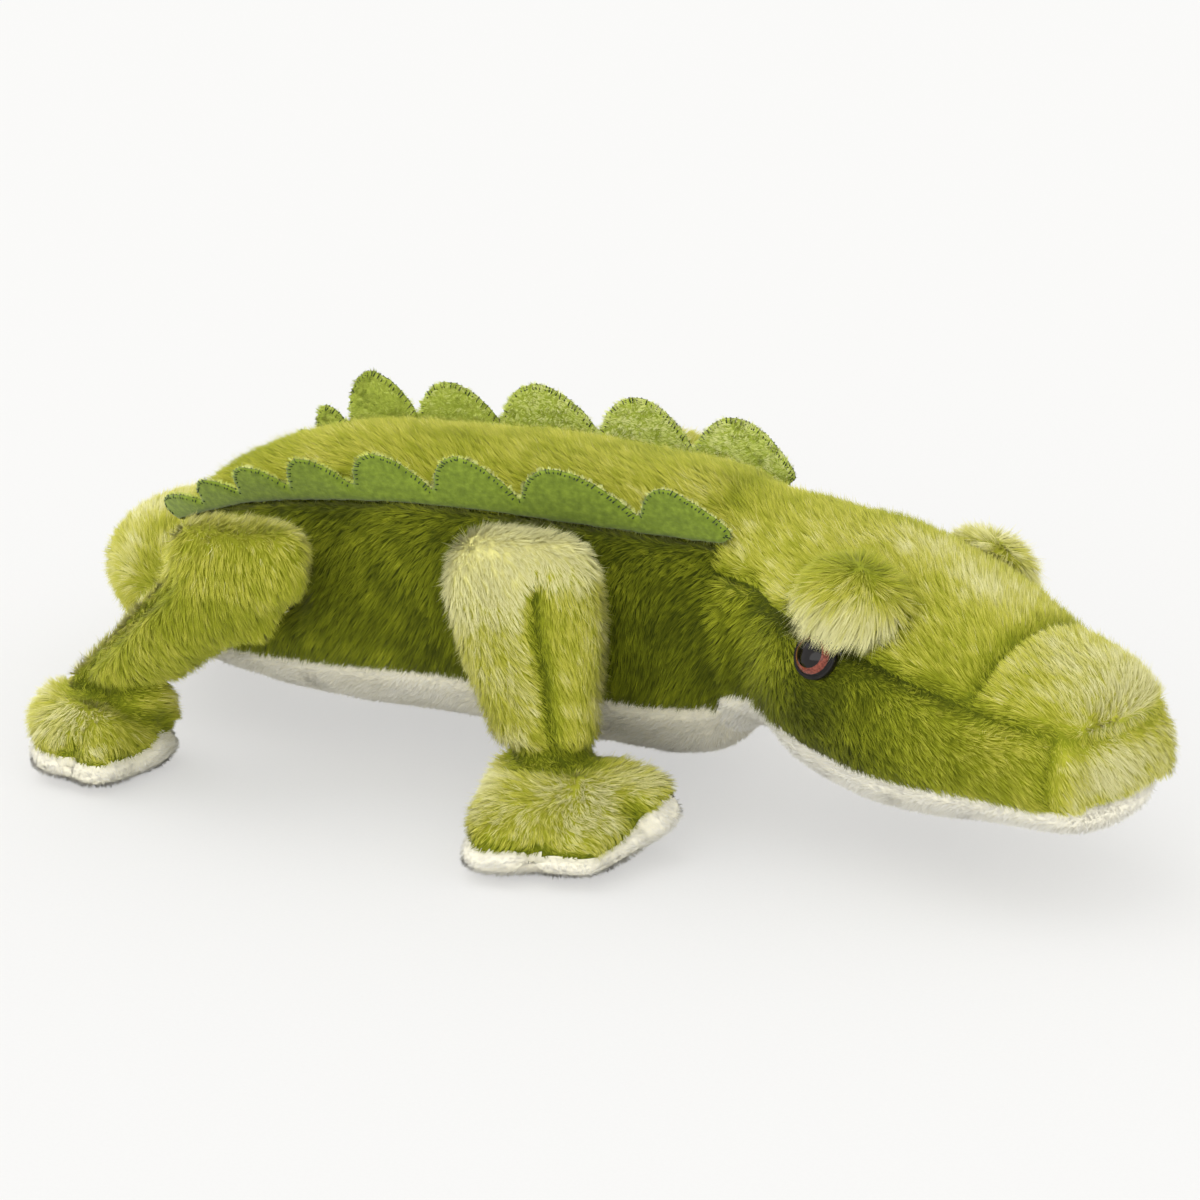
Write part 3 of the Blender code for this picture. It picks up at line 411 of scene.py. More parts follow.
def seam_nearness(distances, names, width):
    """1 on a seam between two panels, and 0 further from it than about this width."""
    order = np.argsort(distances, axis=1)[:, :2]
    nearest = np.take_along_axis(distances, order, 1)
    near = bell(nearest[:, 1] - nearest[:, 0], width)
    body = np.array([body_number[name] for name in names])
    sewn = body[order[:, 0]] == body[order[:, 1]]
    muzzle = np.array([name in MUZZLE_PANELS for name in names])[order].all(axis=1)
    return near * np.where(sewn & ~muzzle, 1.0, FOLD_SHARE)


# %% [markdown]
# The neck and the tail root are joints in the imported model, with a narrow gap
# all round, so we even the skin out there until the cloth runs on.

# %% Stuffed skins
VOXEL = 0.0033
PILE_ROOM = 0.0022
STUFFING_CAP = 0.003
SEAM_PIN_WIDTH = 0.004
LEAST_PIN = 0.02
PIN_SHARE = 0.8
FRAMES_OF_STUFFING = 20
CLOTH = dict(
    quality=5, mass=0.2, tension_stiffness=8, compression_stiffness=8, shear_stiffness=3,
    bending_stiffness=0.4, use_pressure=True, uniform_pressure_force=4,
)
SKIN_ROUNDS = 3
NECK_RIM = 0.013
TAIL_RIM = 0.011
TOE_TOP = 0.020
TOE_FADE = 0.008
TOE_ROUNDS = 10
TOE_FILL = 0.0020
JOINT_EASE = 0.014
JOINT_REACH = 0.075
JOINT_ROUNDS = 40

neck = np.array(joints["neck_turn"]["pos_m"])
tail_root = np.array(joints["tail_swing"]["pos_m"])


def flat_way(degrees):
    angle = math.radians(degrees)
    return np.array((math.cos(angle), math.sin(angle), 0.0))


NECK_WAY, HEAD_WAY, RUMP_WAY = flat_way(-6), flat_way(-28), flat_way(-42)


def stuffed(obj, pin):
    """Cloth pressure on a closed skin. pin is 1 where a seam holds the cloth."""
    start = places(obj.data)
    group = obj.vertex_groups.new(name="seams")
    for index in np.nonzero(pin > LEAST_PIN)[0]:
        group.add([int(index)], float(pin[index]), "REPLACE")
    cloth = obj.modifiers.new("Stuffing", "CLOTH")
    for key, value in CLOTH.items():
        setattr(cloth.settings, key, value)
    cloth.settings.effector_weights.gravity = 0
    cloth.settings.vertex_group_mass = "seams"
    cloth.point_cache.frame_start = 1
    cloth.point_cache.frame_end = FRAMES_OF_STUFFING
    for step in range(1, FRAMES_OF_STUFFING + 1):
        scene.frame_set(step)
    mesh = applied(obj)
    moved = places(mesh) - start
    length = np.linalg.norm(moved, axis=1)
    cap = STUFFING_CAP * (1 - PIN_SHARE * pin)
    keep = np.minimum(1, cap / np.maximum(length, 1e-9))
    put_places(mesh, start + moved * keep[:, None])
    obj.vertex_groups.clear()
    scene.frame_set(1)
    print(obj.name, "stuffed: mean move", round(float(length.mean()) * 1000, 2), "mm")


def rounded_toes(mesh):
    """Rounds a foot's rim off and fills it out sideways, as stuffing does."""
    low = held((TOE_TOP - places(mesh)[:, 2]) / TOE_FADE)
    evened(mesh, low, TOE_ROUNDS)
    put_places(mesh, places(mesh) + outward(mesh) * (1.0, 1.0, 0.0) * (TOE_FILL * low)[:, None])


def make_skin(name, names, panels, room=PILE_ROOM, voxel=VOXEL, joined_at=(), toes=False):
    """One smooth closed skin round these nodes, set in by the room that the pile takes."""
    skin = linked(name, joined_mesh(name, names))
    mesh = melted(skin, voxel, SKIN_ROUNDS)
    points = places(mesh)
    for rim, way in joined_at:
        near = bell((points - rim) @ way, JOINT_EASE)
        near *= np.linalg.norm(points - rim, axis=1) < JOINT_REACH
        evened(mesh, near, JOINT_ROUNDS)
    if toes:
        rounded_toes(mesh)
    pushed(mesh, -room)
    if len(panels) > 1:
        pins = seam_nearness(panel_distances(places(mesh), panels), panels, SEAM_PIN_WIDTH)
        stuffed(skin, pins)
    divide = skin.modifiers.new("Finer", "SUBSURF")
    divide.levels = 1
    divide.render_levels = 1
    applied(skin)
    print(name, "has", len(skin.data.vertices), "points")
    return skin


fillings = ["torso_filling", "head_filling", "tail_filling"]
rims = [(neck - NECK_WAY * NECK_RIM, NECK_WAY), (tail_root + RUMP_WAY * TAIL_RIM, RUMP_WAY)]
trunk_skin = make_skin("trunk_skin", TRUNK_PANELS + fillings, TRUNK_PANELS, joined_at=rims)
leg_skins = {
    leg: make_skin(leg + "_skin", panels + [leg + "_filling"], panels, toes=True)
    for leg, panels in LEG_PANELS.items()
}

# %% [markdown]
# Hand stuffing leaves soft dents, and bending the neck leaves a few raised
# folds. Dents are smooth noise. Each fold or crease is a path of pixels where the
# picture shows it, which we follow through the camera onto the skin.

# %% Seams, dents and folds
SEAM_DEPTH = 0.0024
SEAM_WIDTH = 0.0032
DENT_SIZE = 0.026
DENT_DEPTH = 0.0016
FOLD_HEIGHT = 0.0014
FOLD_WIDTH = 0.0022
TOP_FADE = (0.009, 0.005)
SOLE_RISE = 0.0045
JAW_RISE = 0.0030
LEAST_JAW = 0.3
JAW_FRONT = (0.10, 0.05)
JAW_BACK = 0.03
NECK_FOLDS = (
    ((748, 556), (741, 572), (736, 588), (729, 604)),
    ((722, 588), (745, 592), (768, 593), (790, 602)),
    ((716, 612), (722, 640), (724, 672)),
)

NOSE_CREASE = ((1050, 736), (1085, 745), (1118, 735), (1165, 712))
CREASE_DEPTH = 0.0030
NOSE_CREASE_DEPTH = CREASE_DEPTH * 0.7
CREASE_WIDTH = 0.0036
LEG_CREASES = {
    "front_right_leg": (
        ((498, 752), (525, 757), (555, 758), (585, 752), (606, 740)),
        ((654, 832), (640, 820), (628, 806)),
        ((528, 884), (528, 868), (534, 852)),
    ),
    "rear_right_leg": (
        ((84, 680), (104, 697), (130, 710), (150, 719), (168, 723)),
        ((62, 770), (66, 758), (72, 746)),
    ),
}
leg_creases = {}


def soft_noise(points, size, seed):
    """Smooth noise from 0 to 1 at each point, with lumps of about this size."""
    scaled = points / size
    cell = np.floor(scaled).astype(np.int64)
    part = scaled - cell
    part = part * part * (3 - 2 * part)
    total = np.zeros(len(points))
    for corner in range(8):
        step = np.array([corner & 1, corner >> 1 & 1, corner >> 2 & 1])
        spot = cell + step
        mixed = spot[:, 0] * 73856093 ^ spot[:, 1] * 19349663 ^ spot[:, 2] * 83492791
        mixed = (mixed ^ seed * 97531) & 0x7FFFFFFF
        mixed = (mixed ^ mixed >> 13) * 1274126177 & 0x7FFFFFFF
        mixed = (mixed ^ mixed >> 11) * 668265263 & 0x7FFFFFFF
        value = (mixed >> 8 & 0xFFFF) / 0xFFFF
        total += value * np.prod(np.where(step == 1, part, 1 - part), axis=1)
    return total


def followed(surface, paths, steps=12):
    """Points on a surface under some paths of pixels."""
    found = []
    for (x0, y0), (x1, y1) in [ends for path in paths for ends in zip(path, path[1:])]:
        for k in range(steps):
            share = k / steps
            pixel = (x0 + (x1 - x0) * share, y0 + (y1 - y0) * share)
            found.append(surface.ray_cast(eye_point, sight_line(pixel))[0])
    return [hit for hit in found if hit is not None]


def finder_of(points):
    finder = KDTree(len(points))
    for order, point in enumerate(points):
        finder.insert(point, order)
    finder.balance()
    return finder


def near_line(points, line, width):
    """1 on a line of points and 0 away from it."""
    finder = finder_of(line)
    return bell(np.array([finder.find(Vector(p))[2] for p in points]), width)


def seams_of(skin, distances, panels, is_leg=False):
    """How near a seam each point is. On a leg the seam fades out under the rounded top."""
    near = seam_nearness(distances, panels, SEAM_WIDTH)
    if is_leg:
        height = places(skin.data)[:, 2]
        near = near * held((height.max() - TOP_FADE[0] - height) / TOP_FADE[1])
    return near


def shape_seams(skin, panels, is_leg=False):
    """Presses the seams in, and returns each point's distances to the panels."""
    points = places(skin.data)
    distances = panel_distances(points, panels)
    if is_leg:
        distances[:, -1] -= SOLE_RISE * (0.4 + soft_noise(points, 0.014, 17))
    groove = SEAM_DEPTH * seams_of(skin, distances, panels, is_leg)
    dents = (soft_noise(points, DENT_SIZE, 5) - 0.5) * DENT_DEPTH
    pushed(skin.data, dents - groove)
    return distances


fold_line = followed(surface_of(trunk_skin.data), NECK_FOLDS)
trunk_distances = shape_seams(trunk_skin, TRUNK_PANELS)
leg_distances = {leg: shape_seams(leg_skins[leg], LEG_PANELS[leg], is_leg=True) for leg in LEGS}
trunk_mesh = trunk_skin.data
forward = (places(trunk_mesh) - neck) @ HEAD_WAY
jaw_rise = JAW_RISE * (LEAST_JAW + held((JAW_FRONT[0] - forward) / JAW_FRONT[1]))
jaw_rise = jaw_rise * held(forward / JAW_BACK)
trunk_distances[:, TRUNK_PANELS.index("jaw_panel")] -= jaw_rise
fold_nearness = near_line(places(trunk_mesh), fold_line, FOLD_WIDTH)
pushed(trunk_mesh, FOLD_HEIGHT * fold_nearness)
trunk_surface = surface_of(trunk_mesh)
nose_line = followed(trunk_surface, [NOSE_CREASE])
nose_crease = near_line(places(trunk_mesh), nose_line, CREASE_WIDTH)
nose_height = sum(point.z for point in nose_line) / len(nose_line)
pushed(trunk_mesh, -(NOSE_CREASE_DEPTH * nose_crease))
for leg, paths in LEG_CREASES.items():
    mesh = leg_skins[leg].data
    near = near_line(places(mesh), followed(surface_of(mesh), paths), CREASE_WIDTH)
    leg_creases[leg] = near
    pushed(mesh, -(CREASE_DEPTH * near))
print("seams pressed into", 1 + len(LEGS), "skins, and", len(NECK_FOLDS), "folds raised")

# %% [markdown]
# Only real faces travel with a model, so each lock of fur is a thin three-sided
# needle. Its texture coordinates say what it looks like: across is the shade of
# the patch it grows in, and up is how far along the lock a point is. One small
# node tree then colours every lock, dark at the root and pale at the tip. The
# dark roots are partly the cloth's own colour and partly painted shade deep in
# the pile, and the pale tips are partly painted rim light.

# %% Pile materials
ROOT_END = 0.02
TIP_START = 0.75
STREAK_SCALE = 60
STREAK_LEVELS = (0.88, 1.10)


def pile_material(name, tips, roots, roughness, sheen):
    made, tree, shader = material(name, roughness, sheen, specular=0.10)
    filled(shader, {"Sheen Tint": linear(*tips[-1][1])})
    where = node(tree, "ShaderNodeUVMap", uv_map="OFBake")
    split = node(tree, "ShaderNodeSeparateXYZ")
    tip_ramp, root_ramp = ramp(tree, tips), ramp(tree, roots)
    along = node(
        tree, "ShaderNodeMapRange", {"From Min": ROOT_END, "From Max": TIP_START},
        interpolation_type="SMOOTHSTEP",
    )
    mix = node(tree, "ShaderNodeMix", data_type="RGBA")
    streak = node(tree, "ShaderNodeTexNoise", {"Scale": STREAK_SCALE}, noise_dimensions="2D")
    level = node(tree, "ShaderNodeMapRange", dict(zip(("To Min", "To Max"), STREAK_LEVELS)))
    scale = node(tree, "ShaderNodeVectorMath", operation="SCALE")
    wired(
        tree,
        (where.outputs["UV"], split.inputs[0]),
        (split.outputs["X"], tip_ramp.inputs["Fac"]),
        (split.outputs["X"], root_ramp.inputs["Fac"]),
        (split.outputs["Y"], along.inputs["Value"]),
        (along.outputs["Result"], mix.inputs["Factor"]),
        (root_ramp.outputs["Color"], mix.inputs["A"]),
        (tip_ramp.outputs["Color"], mix.inputs["B"]),
        (where.outputs["UV"], streak.inputs["Vector"]),
        (streak.outputs["Fac"], level.inputs["Value"]),
        (mix.outputs["Result"], scale.inputs[0]),
        (level.outputs["Result"], scale.inputs["Scale"]),
        (scale.outputs["Vector"], shader.inputs["Base Color"]),
    )
    return made


GREEN_TIPS = (
    (0.00, (76, 84, 8)), (0.25, (126, 134, 22)), (0.50, (176, 182, 46)),
    (0.75, (222, 218, 90)), (1.00, (255, 251, 190)),
)
GREEN_ROOTS = (
    (0.00, (52, 60, 5)), (0.25, (88, 98, 12)), (0.50, (136, 144, 26)),
    (0.75, (184, 184, 56)), (1.00, (244, 238, 158)),
)
WHITE_TIPS = ((0.0, (240, 234, 206)), (1.0, (254, 252, 244)))
WHITE_ROOTS = ((0.0, (232, 224, 190)), (1.0, (252, 249, 236)))
green_pile = pile_material("green_pile", GREEN_TIPS, GREEN_ROOTS, 0.75, 0.2)
white_pile = pile_material("white_pile", WHITE_TIPS, WHITE_ROOTS, 0.85, 0.1)

# %% [markdown]
# Each panel gets its share of the skin and grows its own locks on it, so the
# pieces meet exactly at the seams. Locks near each other cling at their tips and
# share a shade, which makes plush look soft. A few strays soften the outline, and
# they are painted paler as painted rim light. Near a seam or crease the locks are
# shorter and painted darker, as painted shade, and the bare ground under the
# locks is painted darker still, as painted shade deep in the pile.

# %% Locks of fur
STRAND_WIDTH = 0.00027
FLOOR_CLEARANCE = 0.0003
STRAY_SHARE = 0.07
SEAM_SHORTENING = 0.60
# Painted shade: how much darker the bare ground deep in the pile is
GROUND_PAINTED_SHADE = 0.20
ROOT_SINK = 0.0003
SWIRL_SPREAD = 0.14
LEAN_WANDER = 0.5
LEAN_SPREAD = 0.12
LEAN_LIMITS = (0.1, 1.35)
STRAY_LIFT = 0.45
# Painted rim light: how much paler the strays are
STRAY_PAINTED_RIM_LIGHT = 0.10
LENGTHS = (0.75, 1.12)
CLINGS = (0.6, 1.0)
WIDTHS = (0.8, 1.2)
NORMAL_SPREAD = 0.18
SHADE_LIMITS = (0.03, 0.97)
SHADE_STEP = 0.012
PATCH_SIZES = (0.016, 0.005)
SMALL_PATCHES = 0.7


def unit(vectors):
    length = np.linalg.norm(vectors, axis=1, keepdims=True)
    return vectors / np.maximum(length, 1e-12)


def flat_along(vectors, normals):
    """The vectors laid flat on the surface."""
    return unit(vectors - normals * np.sum(vectors * normals, axis=1, keepdims=True))


def scattered(points, normals, triangles, density, rng):
    """Points spread evenly over the triangles, with their normals and weights."""
    corner = points[triangles]
    cross = np.cross(corner[:, 1] - corner[:, 0], corner[:, 2] - corner[:, 0])
    area = np.linalg.norm(cross, axis=1) / 2
    count = int(area.sum() * density)
    chosen = rng.choice(len(triangles), size=count, p=area / area.sum())
    a, b = rng.random(count), rng.random(count)
    over = a + b > 1
    a[over], b[over] = 1 - a[over], 1 - b[over]
    weights = np.stack([1 - a - b, a, b], axis=1)
    spots = (corner[chosen] * weights[:, :, None]).sum(axis=1)
    facing = unit((normals[triangles[chosen]] * weights[:, :, None]).sum(axis=1))
    return spots, facing, triangles[chosen], weights


def gathered(spots, share, rng):
    """For each spot, the nearest of a few chosen spots that locks lean together at."""
    count = len(spots)
    heads = rng.choice(count, size=max(4, int(count * share)), replace=False)
    finder = finder_of(spots[heads])
    return np.array([heads[finder.find(spot)[1]] for spot in spots])


def grow_locks(spots, facing, nap, pile, rng, shade, shortness):
    """Points, faces, normals and texture places of one needle for each spot."""
    count = len(spots)
    swirl = (soft_noise(spots, pile["swirl_size"], 11) - 0.5) * pile["swirl"]
    swirl += rng.normal(0, SWIRL_SPREAD, count)
    side = np.cross(facing, nap)
    way = unit(nap * np.cos(swirl)[:, None] + side * np.sin(swirl)[:, None])
    lean = pile["lean"] + (soft_noise(spots, pile["swirl_size"] * 0.7, 23) - 0.5) * LEAN_WANDER
    stray = rng.random(count) < STRAY_SHARE
    lean = np.clip(lean + rng.normal(0, LEAN_SPREAD, count) - STRAY_LIFT * stray, *LEAN_LIMITS)
    aim = facing * np.cos(lean)[:, None] + way * np.sin(lean)[:, None]
    length = pile["length"] * rng.uniform(*LENGTHS, count) * shortness
    tips = spots + aim * length[:, None]
    nearest = gathered(spots, pile["clumps"], rng)
    pull = pile["cling"] * rng.uniform(*CLINGS, count) * ~stray
    tips += (tips[nearest] - tips) * pull[:, None]
    clump_shade = rng.normal(0, pile["clump_shade"], count)[nearest]
    tips[:, 2] = np.maximum(tips[:, 2], FLOOR_CLEARANCE)
    spots = np.concatenate([spots[:, :2], np.maximum(spots[:, 2:], FLOOR_CLEARANCE)], axis=1)
    aim = unit(tips - spots)
    across = unit(np.cross(aim, facing) + 1e-6)
    rise = np.cross(across, aim)
    thick = STRAND_WIDTH * pile["thick"] * rng.uniform(*WIDTHS, count)[:, None]
    base = spots - facing * ROOT_SINK
    low, high = base - across * thick * 0.5, base + across * thick * 0.5
    points = np.stack([low, high, base + rise * thick * 0.6, tips], axis=1).reshape(-1, 3)
    first = np.arange(count)[:, None] * 4
    faces = np.concatenate([first + [0, 2, 3], first + [2, 1, 3], first + [1, 0, 3]], axis=1)
    tilt = rng.normal(0, NORMAL_SPREAD, (count, 3))
    bent, tip_bent = unit(facing + tilt), unit(facing * 0.8 + rise * 0.4 + tilt)
    normals = np.stack([bent, bent, bent, tip_bent], axis=1).reshape(-1, 3)
    # Strays get painted rim light
    shade = shade + rng.normal(0, pile["mottle"], count) + clump_shade + STRAY_PAINTED_RIM_LIGHT * stray
    shade = np.clip(shade, *SHADE_LIMITS)
    u = np.stack([shade - SHADE_STEP, shade + SHADE_STEP, shade, shade], axis=1)
    v = np.tile([0.0, 0.0, 0.03, 1.0], (count, 1))
    return points, faces.reshape(-1, 3), normals, np.stack([u, v], axis=2).reshape(-1, 2)


def triangle_mesh(name, points, faces, normals, uv, surface):
    mesh = bpy.data.meshes.new(name)
    mesh.vertices.add(len(points))
    mesh.vertices.foreach_set("co", points.ravel())
    mesh.loops.add(len(faces) * 3)
    mesh.loops.foreach_set("vertex_index", faces.ravel().astype(np.int32))
    mesh.polygons.add(len(faces))
    mesh.polygons.foreach_set("loop_start", np.arange(0, len(faces) * 3, 3, dtype=np.int32))
    layer = mesh.uv_layers.new(name="OFBake")
    layer.uv.foreach_set("vector", uv[faces.ravel()].ravel())
    mesh.update(calc_edges=True)
    mesh.validate()
    mesh.normals_split_custom_set_from_vertices(normals)
    mesh.materials.append(surface)
    return mesh


pieces = {}


def fur_piece(name, skin, kept, near_seam, nap_at, pile, shade_at, seed):
    """The kept triangles of a skin and the pile on them, as one piece."""
    rng = np.random.default_rng(seed)
    mesh = skin.data
    points, normals = places(mesh), outward(mesh)
    triangles = triangles_in(mesh)[kept]
    spots, facing, corners, weights = scattered(
        points, normals, triangles, pile["density"], rng
    )
    near = (near_seam[corners] * weights).sum(axis=1)
    nap = flat_along(nap_at(spots), facing)
    patches = soft_noise(spots, PATCH_SIZES[0], 3) - 0.5
    patches = patches + (soft_noise(spots, PATCH_SIZES[1], 4) - 0.5) * SMALL_PATCHES
    # Near a seam or crease the locks get painted shade
    shade = shade_at(spots, facing) + patches * pile["patch"] - pile["seam_shade"] * near
    shortness = 1 - SEAM_SHORTENING * near
    locks = grow_locks(spots, facing, nap, pile, rng, shade, shortness)
    used, where = np.unique(triangles, return_inverse=True)
    ground = points[used]
    # The ground gets painted shade deep in the pile and along seams
    ground_shade = shade_at(ground, normals[used]) - GROUND_PAINTED_SHADE
    ground_shade = ground_shade - pile["seam_shade"] * near_seam[used]
    wander = np.sin(np.arange(len(used)) * 2.4) * 0.01
    ground_uv = np.stack(
        [np.clip(ground_shade, *SHADE_LIMITS) + wander, 0.2 + 5 * wander], axis=1
    )
    made = triangle_mesh(
        name,
        np.concatenate([ground, locks[0]]),
        np.concatenate([where.reshape(-1, 3), locks[1] + len(used)]),
        np.concatenate([normals[used], locks[2]]),
        np.concatenate([ground_uv, locks[3]]),
        pile["material"],
    )
    pieces[name] = linked(name, made)
    print(name, len(spots), "locks")


# Each pile's seam value is the painted shade along seams and creases
GREEN = dict(material=green_pile, density=3.4e6, length=0.0052, lean=0.98, swirl=1.0,
             swirl_size=0.020, clumps=0.11, cling=0.55, clump_shade=0.055, thick=1.0,
             mottle=0.035, patch=0.28, seam_shade=0.26)
WHITE = dict(material=white_pile, density=3.1e6, length=0.0024, lean=0.95, swirl=2.5,
             swirl_size=0.012, clumps=0.12, cling=0.25, clump_shade=0.04, thick=1.0,
             mottle=0.08, patch=0.25, seam_shade=0.05)

# %% [markdown]
# The trunk: torso, head and tail. Every panel has its own shade and its own nap.
# The flanks are deep olive, the back is leaf green, and the crown and muzzle turn
# yellow. A few darker and paler patches, each at its pixel, are painted light:
# painted shadow on the cheek and low on the neck, and painted highlight on the
# crown, the far side of the head, the nose, a neck fold and the flank. Fur is
# painted paler where it faces up and darker where it faces down, the raised neck
# folds get a painted highlight, the muzzle is painted paler toward the nose as a
# painted highlight, and the crown gets painted shadow in the fold round each brow.

# %% Trunk fur
SIDE_NAP = (-0.35, 0.0, -1.0)
CHEEK_NAP = HEAD_WAY + (0.0, 0.0, -0.35)
CROWN_NAP = -HEAD_WAY + (0.0, 0.0, 0.25)
SHADES_AND_NAPS = {
    "back_panel": (0.52, (-1.0, 0.12, -0.05)),
    "left_side_panel": (0.22, SIDE_NAP),
    "right_side_panel": (0.21, SIDE_NAP),
    "belly_panel": (0.6, (-1.0, 0.0, 0.0)),
    "crown_panel": (0.61, CROWN_NAP),
    "snout_panel": (0.64, CROWN_NAP),
    "nose_panel": (0.64, HEAD_WAY + (0.0, 0.0, -0.7)),
    "left_cheek_panel": (0.34, CHEEK_NAP),
    "right_cheek_panel": (0.34, CHEEK_NAP),
    "jaw_panel": (0.8, -HEAD_WAY),
    "tail_top_panel": (0.72, None),
    "tail_under_panel": (0.6, None),
}
NECK_SOFTENING = 0.045
NOSE_SOFTENING = 0.003
BEYOND_TIP = (0.03, 0.03, 0.0)
# Painted light and shade: fur is painted paler where it faces up and darker where it faces down
UP_PAINTED_LIGHT = 0.08
# Painted highlight on the raised neck folds
FOLD_PAINTED_HIGHLIGHT = 0.18
# The change of shade, where it starts ahead of the neck and over what length, in metres
CHEEK_GRADIENTS = ((0.42, 0.055, 0.07),)
# Painted highlight: the muzzle is painted paler toward the nose
MUZZLE_PAINTED_HIGHLIGHT = ((0.30, 0.106, 0.026),)
GRADIENTS = {
    "back_panel": ((0.10, -0.04, 0.05), (-0.12, -0.155, -0.05)),
    "snout_panel": MUZZLE_PAINTED_HIGHLIGHT,
    "nose_panel": MUZZLE_PAINTED_HIGHLIGHT,
    "left_cheek_panel": CHEEK_GRADIENTS,
    "right_cheek_panel": CHEEK_GRADIENTS,
}
# Painted light patches: the pixel, the radius in metres and the change of shade, darker for
# painted shadow and paler for painted highlight
PAINTED_LIGHT_PATCHES = (
    ((850, 750), 0.015, -0.10),
    ((800, 700), 0.012, -0.08),
    ((910, 555), 0.016, 0.12),
    ((1010, 600), 0.014, 0.18),
    ((1130, 690), 0.012, 0.10),
    ((730, 600), 0.010, 0.12),
    ((690, 640), 0.022, -0.20),
    ((560, 660), 0.020, 0.08),
)
TRUNK_SEED = 100
BROWS = ("right_brow_pad", "left_brow_pad")
# Painted shadow in the fold round each brow pad, on the crown
BROW_FOLD_PAINTED_SHADE = 0.14
BROW_FOLD_SHADE_WIDTH = 0.0045


def brow_fold_painted_shade(spots):
    """1 in the fold round a brow pad, above where its fringe hangs: where the crown gets painted
    shadow.
    """
    return sum(bell(panel_distances(spots, [brow])[:, 0], BROW_FOLD_SHADE_WIDTH) for brow in BROWS)


tail_places = places(nodes["tail_filling"].data)
tail_reach = np.linalg.norm(tail_places - tail_root, axis=1)
tail_tip = tail_places[int(np.argmax(tail_reach))]


painted_light_patches = [
    (np.array(trunk_surface.ray_cast(eye_point, sight_line(pixel))[0]), radius, change)
    for pixel, radius, change in PAINTED_LIGHT_PATCHES
]


def painted_light_at(spots):
    return sum(
        change * bell(np.linalg.norm(spots - place, axis=1), radius)
        for place, radius, change in painted_light_patches
    )


trunk_triangles = triangles_in(trunk_mesh)
trunk_owner = np.argmin(trunk_distances[trunk_triangles].mean(axis=1), axis=1)
trunk_seams = seam_nearness(trunk_distances, TRUNK_PANELS, SEAM_WIDTH)
# The nose crease gets the painted shade of a seam
trunk_seams = np.maximum(trunk_seams, nose_crease)
for index, panel in enumerate(TRUNK_PANELS):

    def nap_at(spots):
        way = SHADES_AND_NAPS[panel][1]
        if way is None:
            return unit(tail_tip + np.array(BEYOND_TIP) - spots)
        nap = np.tile(unit(np.array([way])), (len(spots), 1))
        if panel.endswith("cheek_panel"):
            ahead = held((spots - neck) @ HEAD_WAY / NECK_SOFTENING)[:, None]
            nap = nap * ahead + unit(np.array([SIDE_NAP])) * (1 - ahead)
        if panel == "nose_panel":
            above = held((spots[:, 2] - nose_height) / NOSE_SOFTENING)[:, None]
            nap = nap * (1 - above) + unit(np.array([CROWN_NAP])) * above
        return nap

    def shade_at(spots, facing):
        value = SHADES_AND_NAPS[panel][0]
        if panel in WHITE_PANELS:
            return value
        forward = (spots - neck) @ HEAD_WAY
        if panel.endswith("cheek_panel"):
            flank = SHADES_AND_NAPS[panel.replace("cheek", "side")][0]
            value = flank + (value - flank) * held(forward / NECK_SOFTENING)
        for change, start, length in GRADIENTS.get(panel, ()):
            value = value + change * held((forward - start) / length)
        if panel == "crown_panel":
            # Painted shadow in the fold round the brow pads
            value = value - BROW_FOLD_PAINTED_SHADE * brow_fold_painted_shade(spots)
        # Painted shadow and highlight patches, and the painted highlight on the raised neck
        # folds
        value = value + (painted_light_at(spots) + FOLD_PAINTED_HIGHLIGHT * near_line(spots, fold_line, FOLD_WIDTH))
        # Painted light and shade by which way the fur faces
        return value + UP_PAINTED_LIGHT * np.clip(facing[:, 2], -0.5, 1)

    white = panel in WHITE_PANELS
    name = panel + ("_plush" if white else "_fur")
    fur_piece(name, trunk_skin, trunk_owner == index, trunk_seams, nap_at,
              WHITE if white else GREEN, shade_at, TRUNK_SEED + index)

# %% [markdown]
# The legs are sausages with a seam down each outer side, and flat webbed feet.
# What lies deep inside the flank stays bare, because no lock is seen there.

# %% Leg fur
HIDDEN_DEPTH = 0.004
LEG_SHADES = {
    "front_right_leg": dict(front_panel=0.73, rear_panel=0.84, foot_top=0.79),
    "front_left_leg": dict(front_panel=0.62, rear_panel=0.68, foot_top=0.68),
    "rear_right_leg": dict(front_panel=0.61, rear_panel=0.68, foot_top=0.74),
    "rear_left_leg": dict(front_panel=0.57, rear_panel=0.60, foot_top=0.68),
}
LEG_NAPS = {"front_panel": (0.50, 0.55, -0.75), "rear_panel": (0.80, 0.60, -0.50)}
# Painted highlight on the rounded top of each leg
TOP_PAINTED_HIGHLIGHT = {"front_right_leg": 0.44, "front_left_leg": 0.2}
LEAST_PAINTED_HIGHLIGHT = 0.12
PAINTED_HIGHLIGHT_REACH = {"front_panel": 0.014, "rear_panel": 0.026}
SOLE_SHADE = 0.75
TOE_NAP = (0.30, 0.0, 0.0)
TOE_DROP = 0.35
INSTEP = (0.012, 0.010)
PAINTED_HIGHLIGHT_RISE = 1.3
# Painted light and shade: leg fur is painted paler facing up and darker facing down
LEG_UP_PAINTED_LIGHT = 0.06
LEG_SEED = 200
# Front legs get stronger painted shade along their seams and creases
LEG_PILE = dict(GREEN, seam_shade=0.40)


def deep_inside(point, out):
    """Whether a point lies deep in the trunk and leaves its skin on the way out."""
    normal = trunk_surface.ray_cast(point, out)[1]
    away = trunk_surface.find_nearest(point)[3]
    return away > HIDDEN_DEPTH and normal is not None and normal.dot(out) > 0


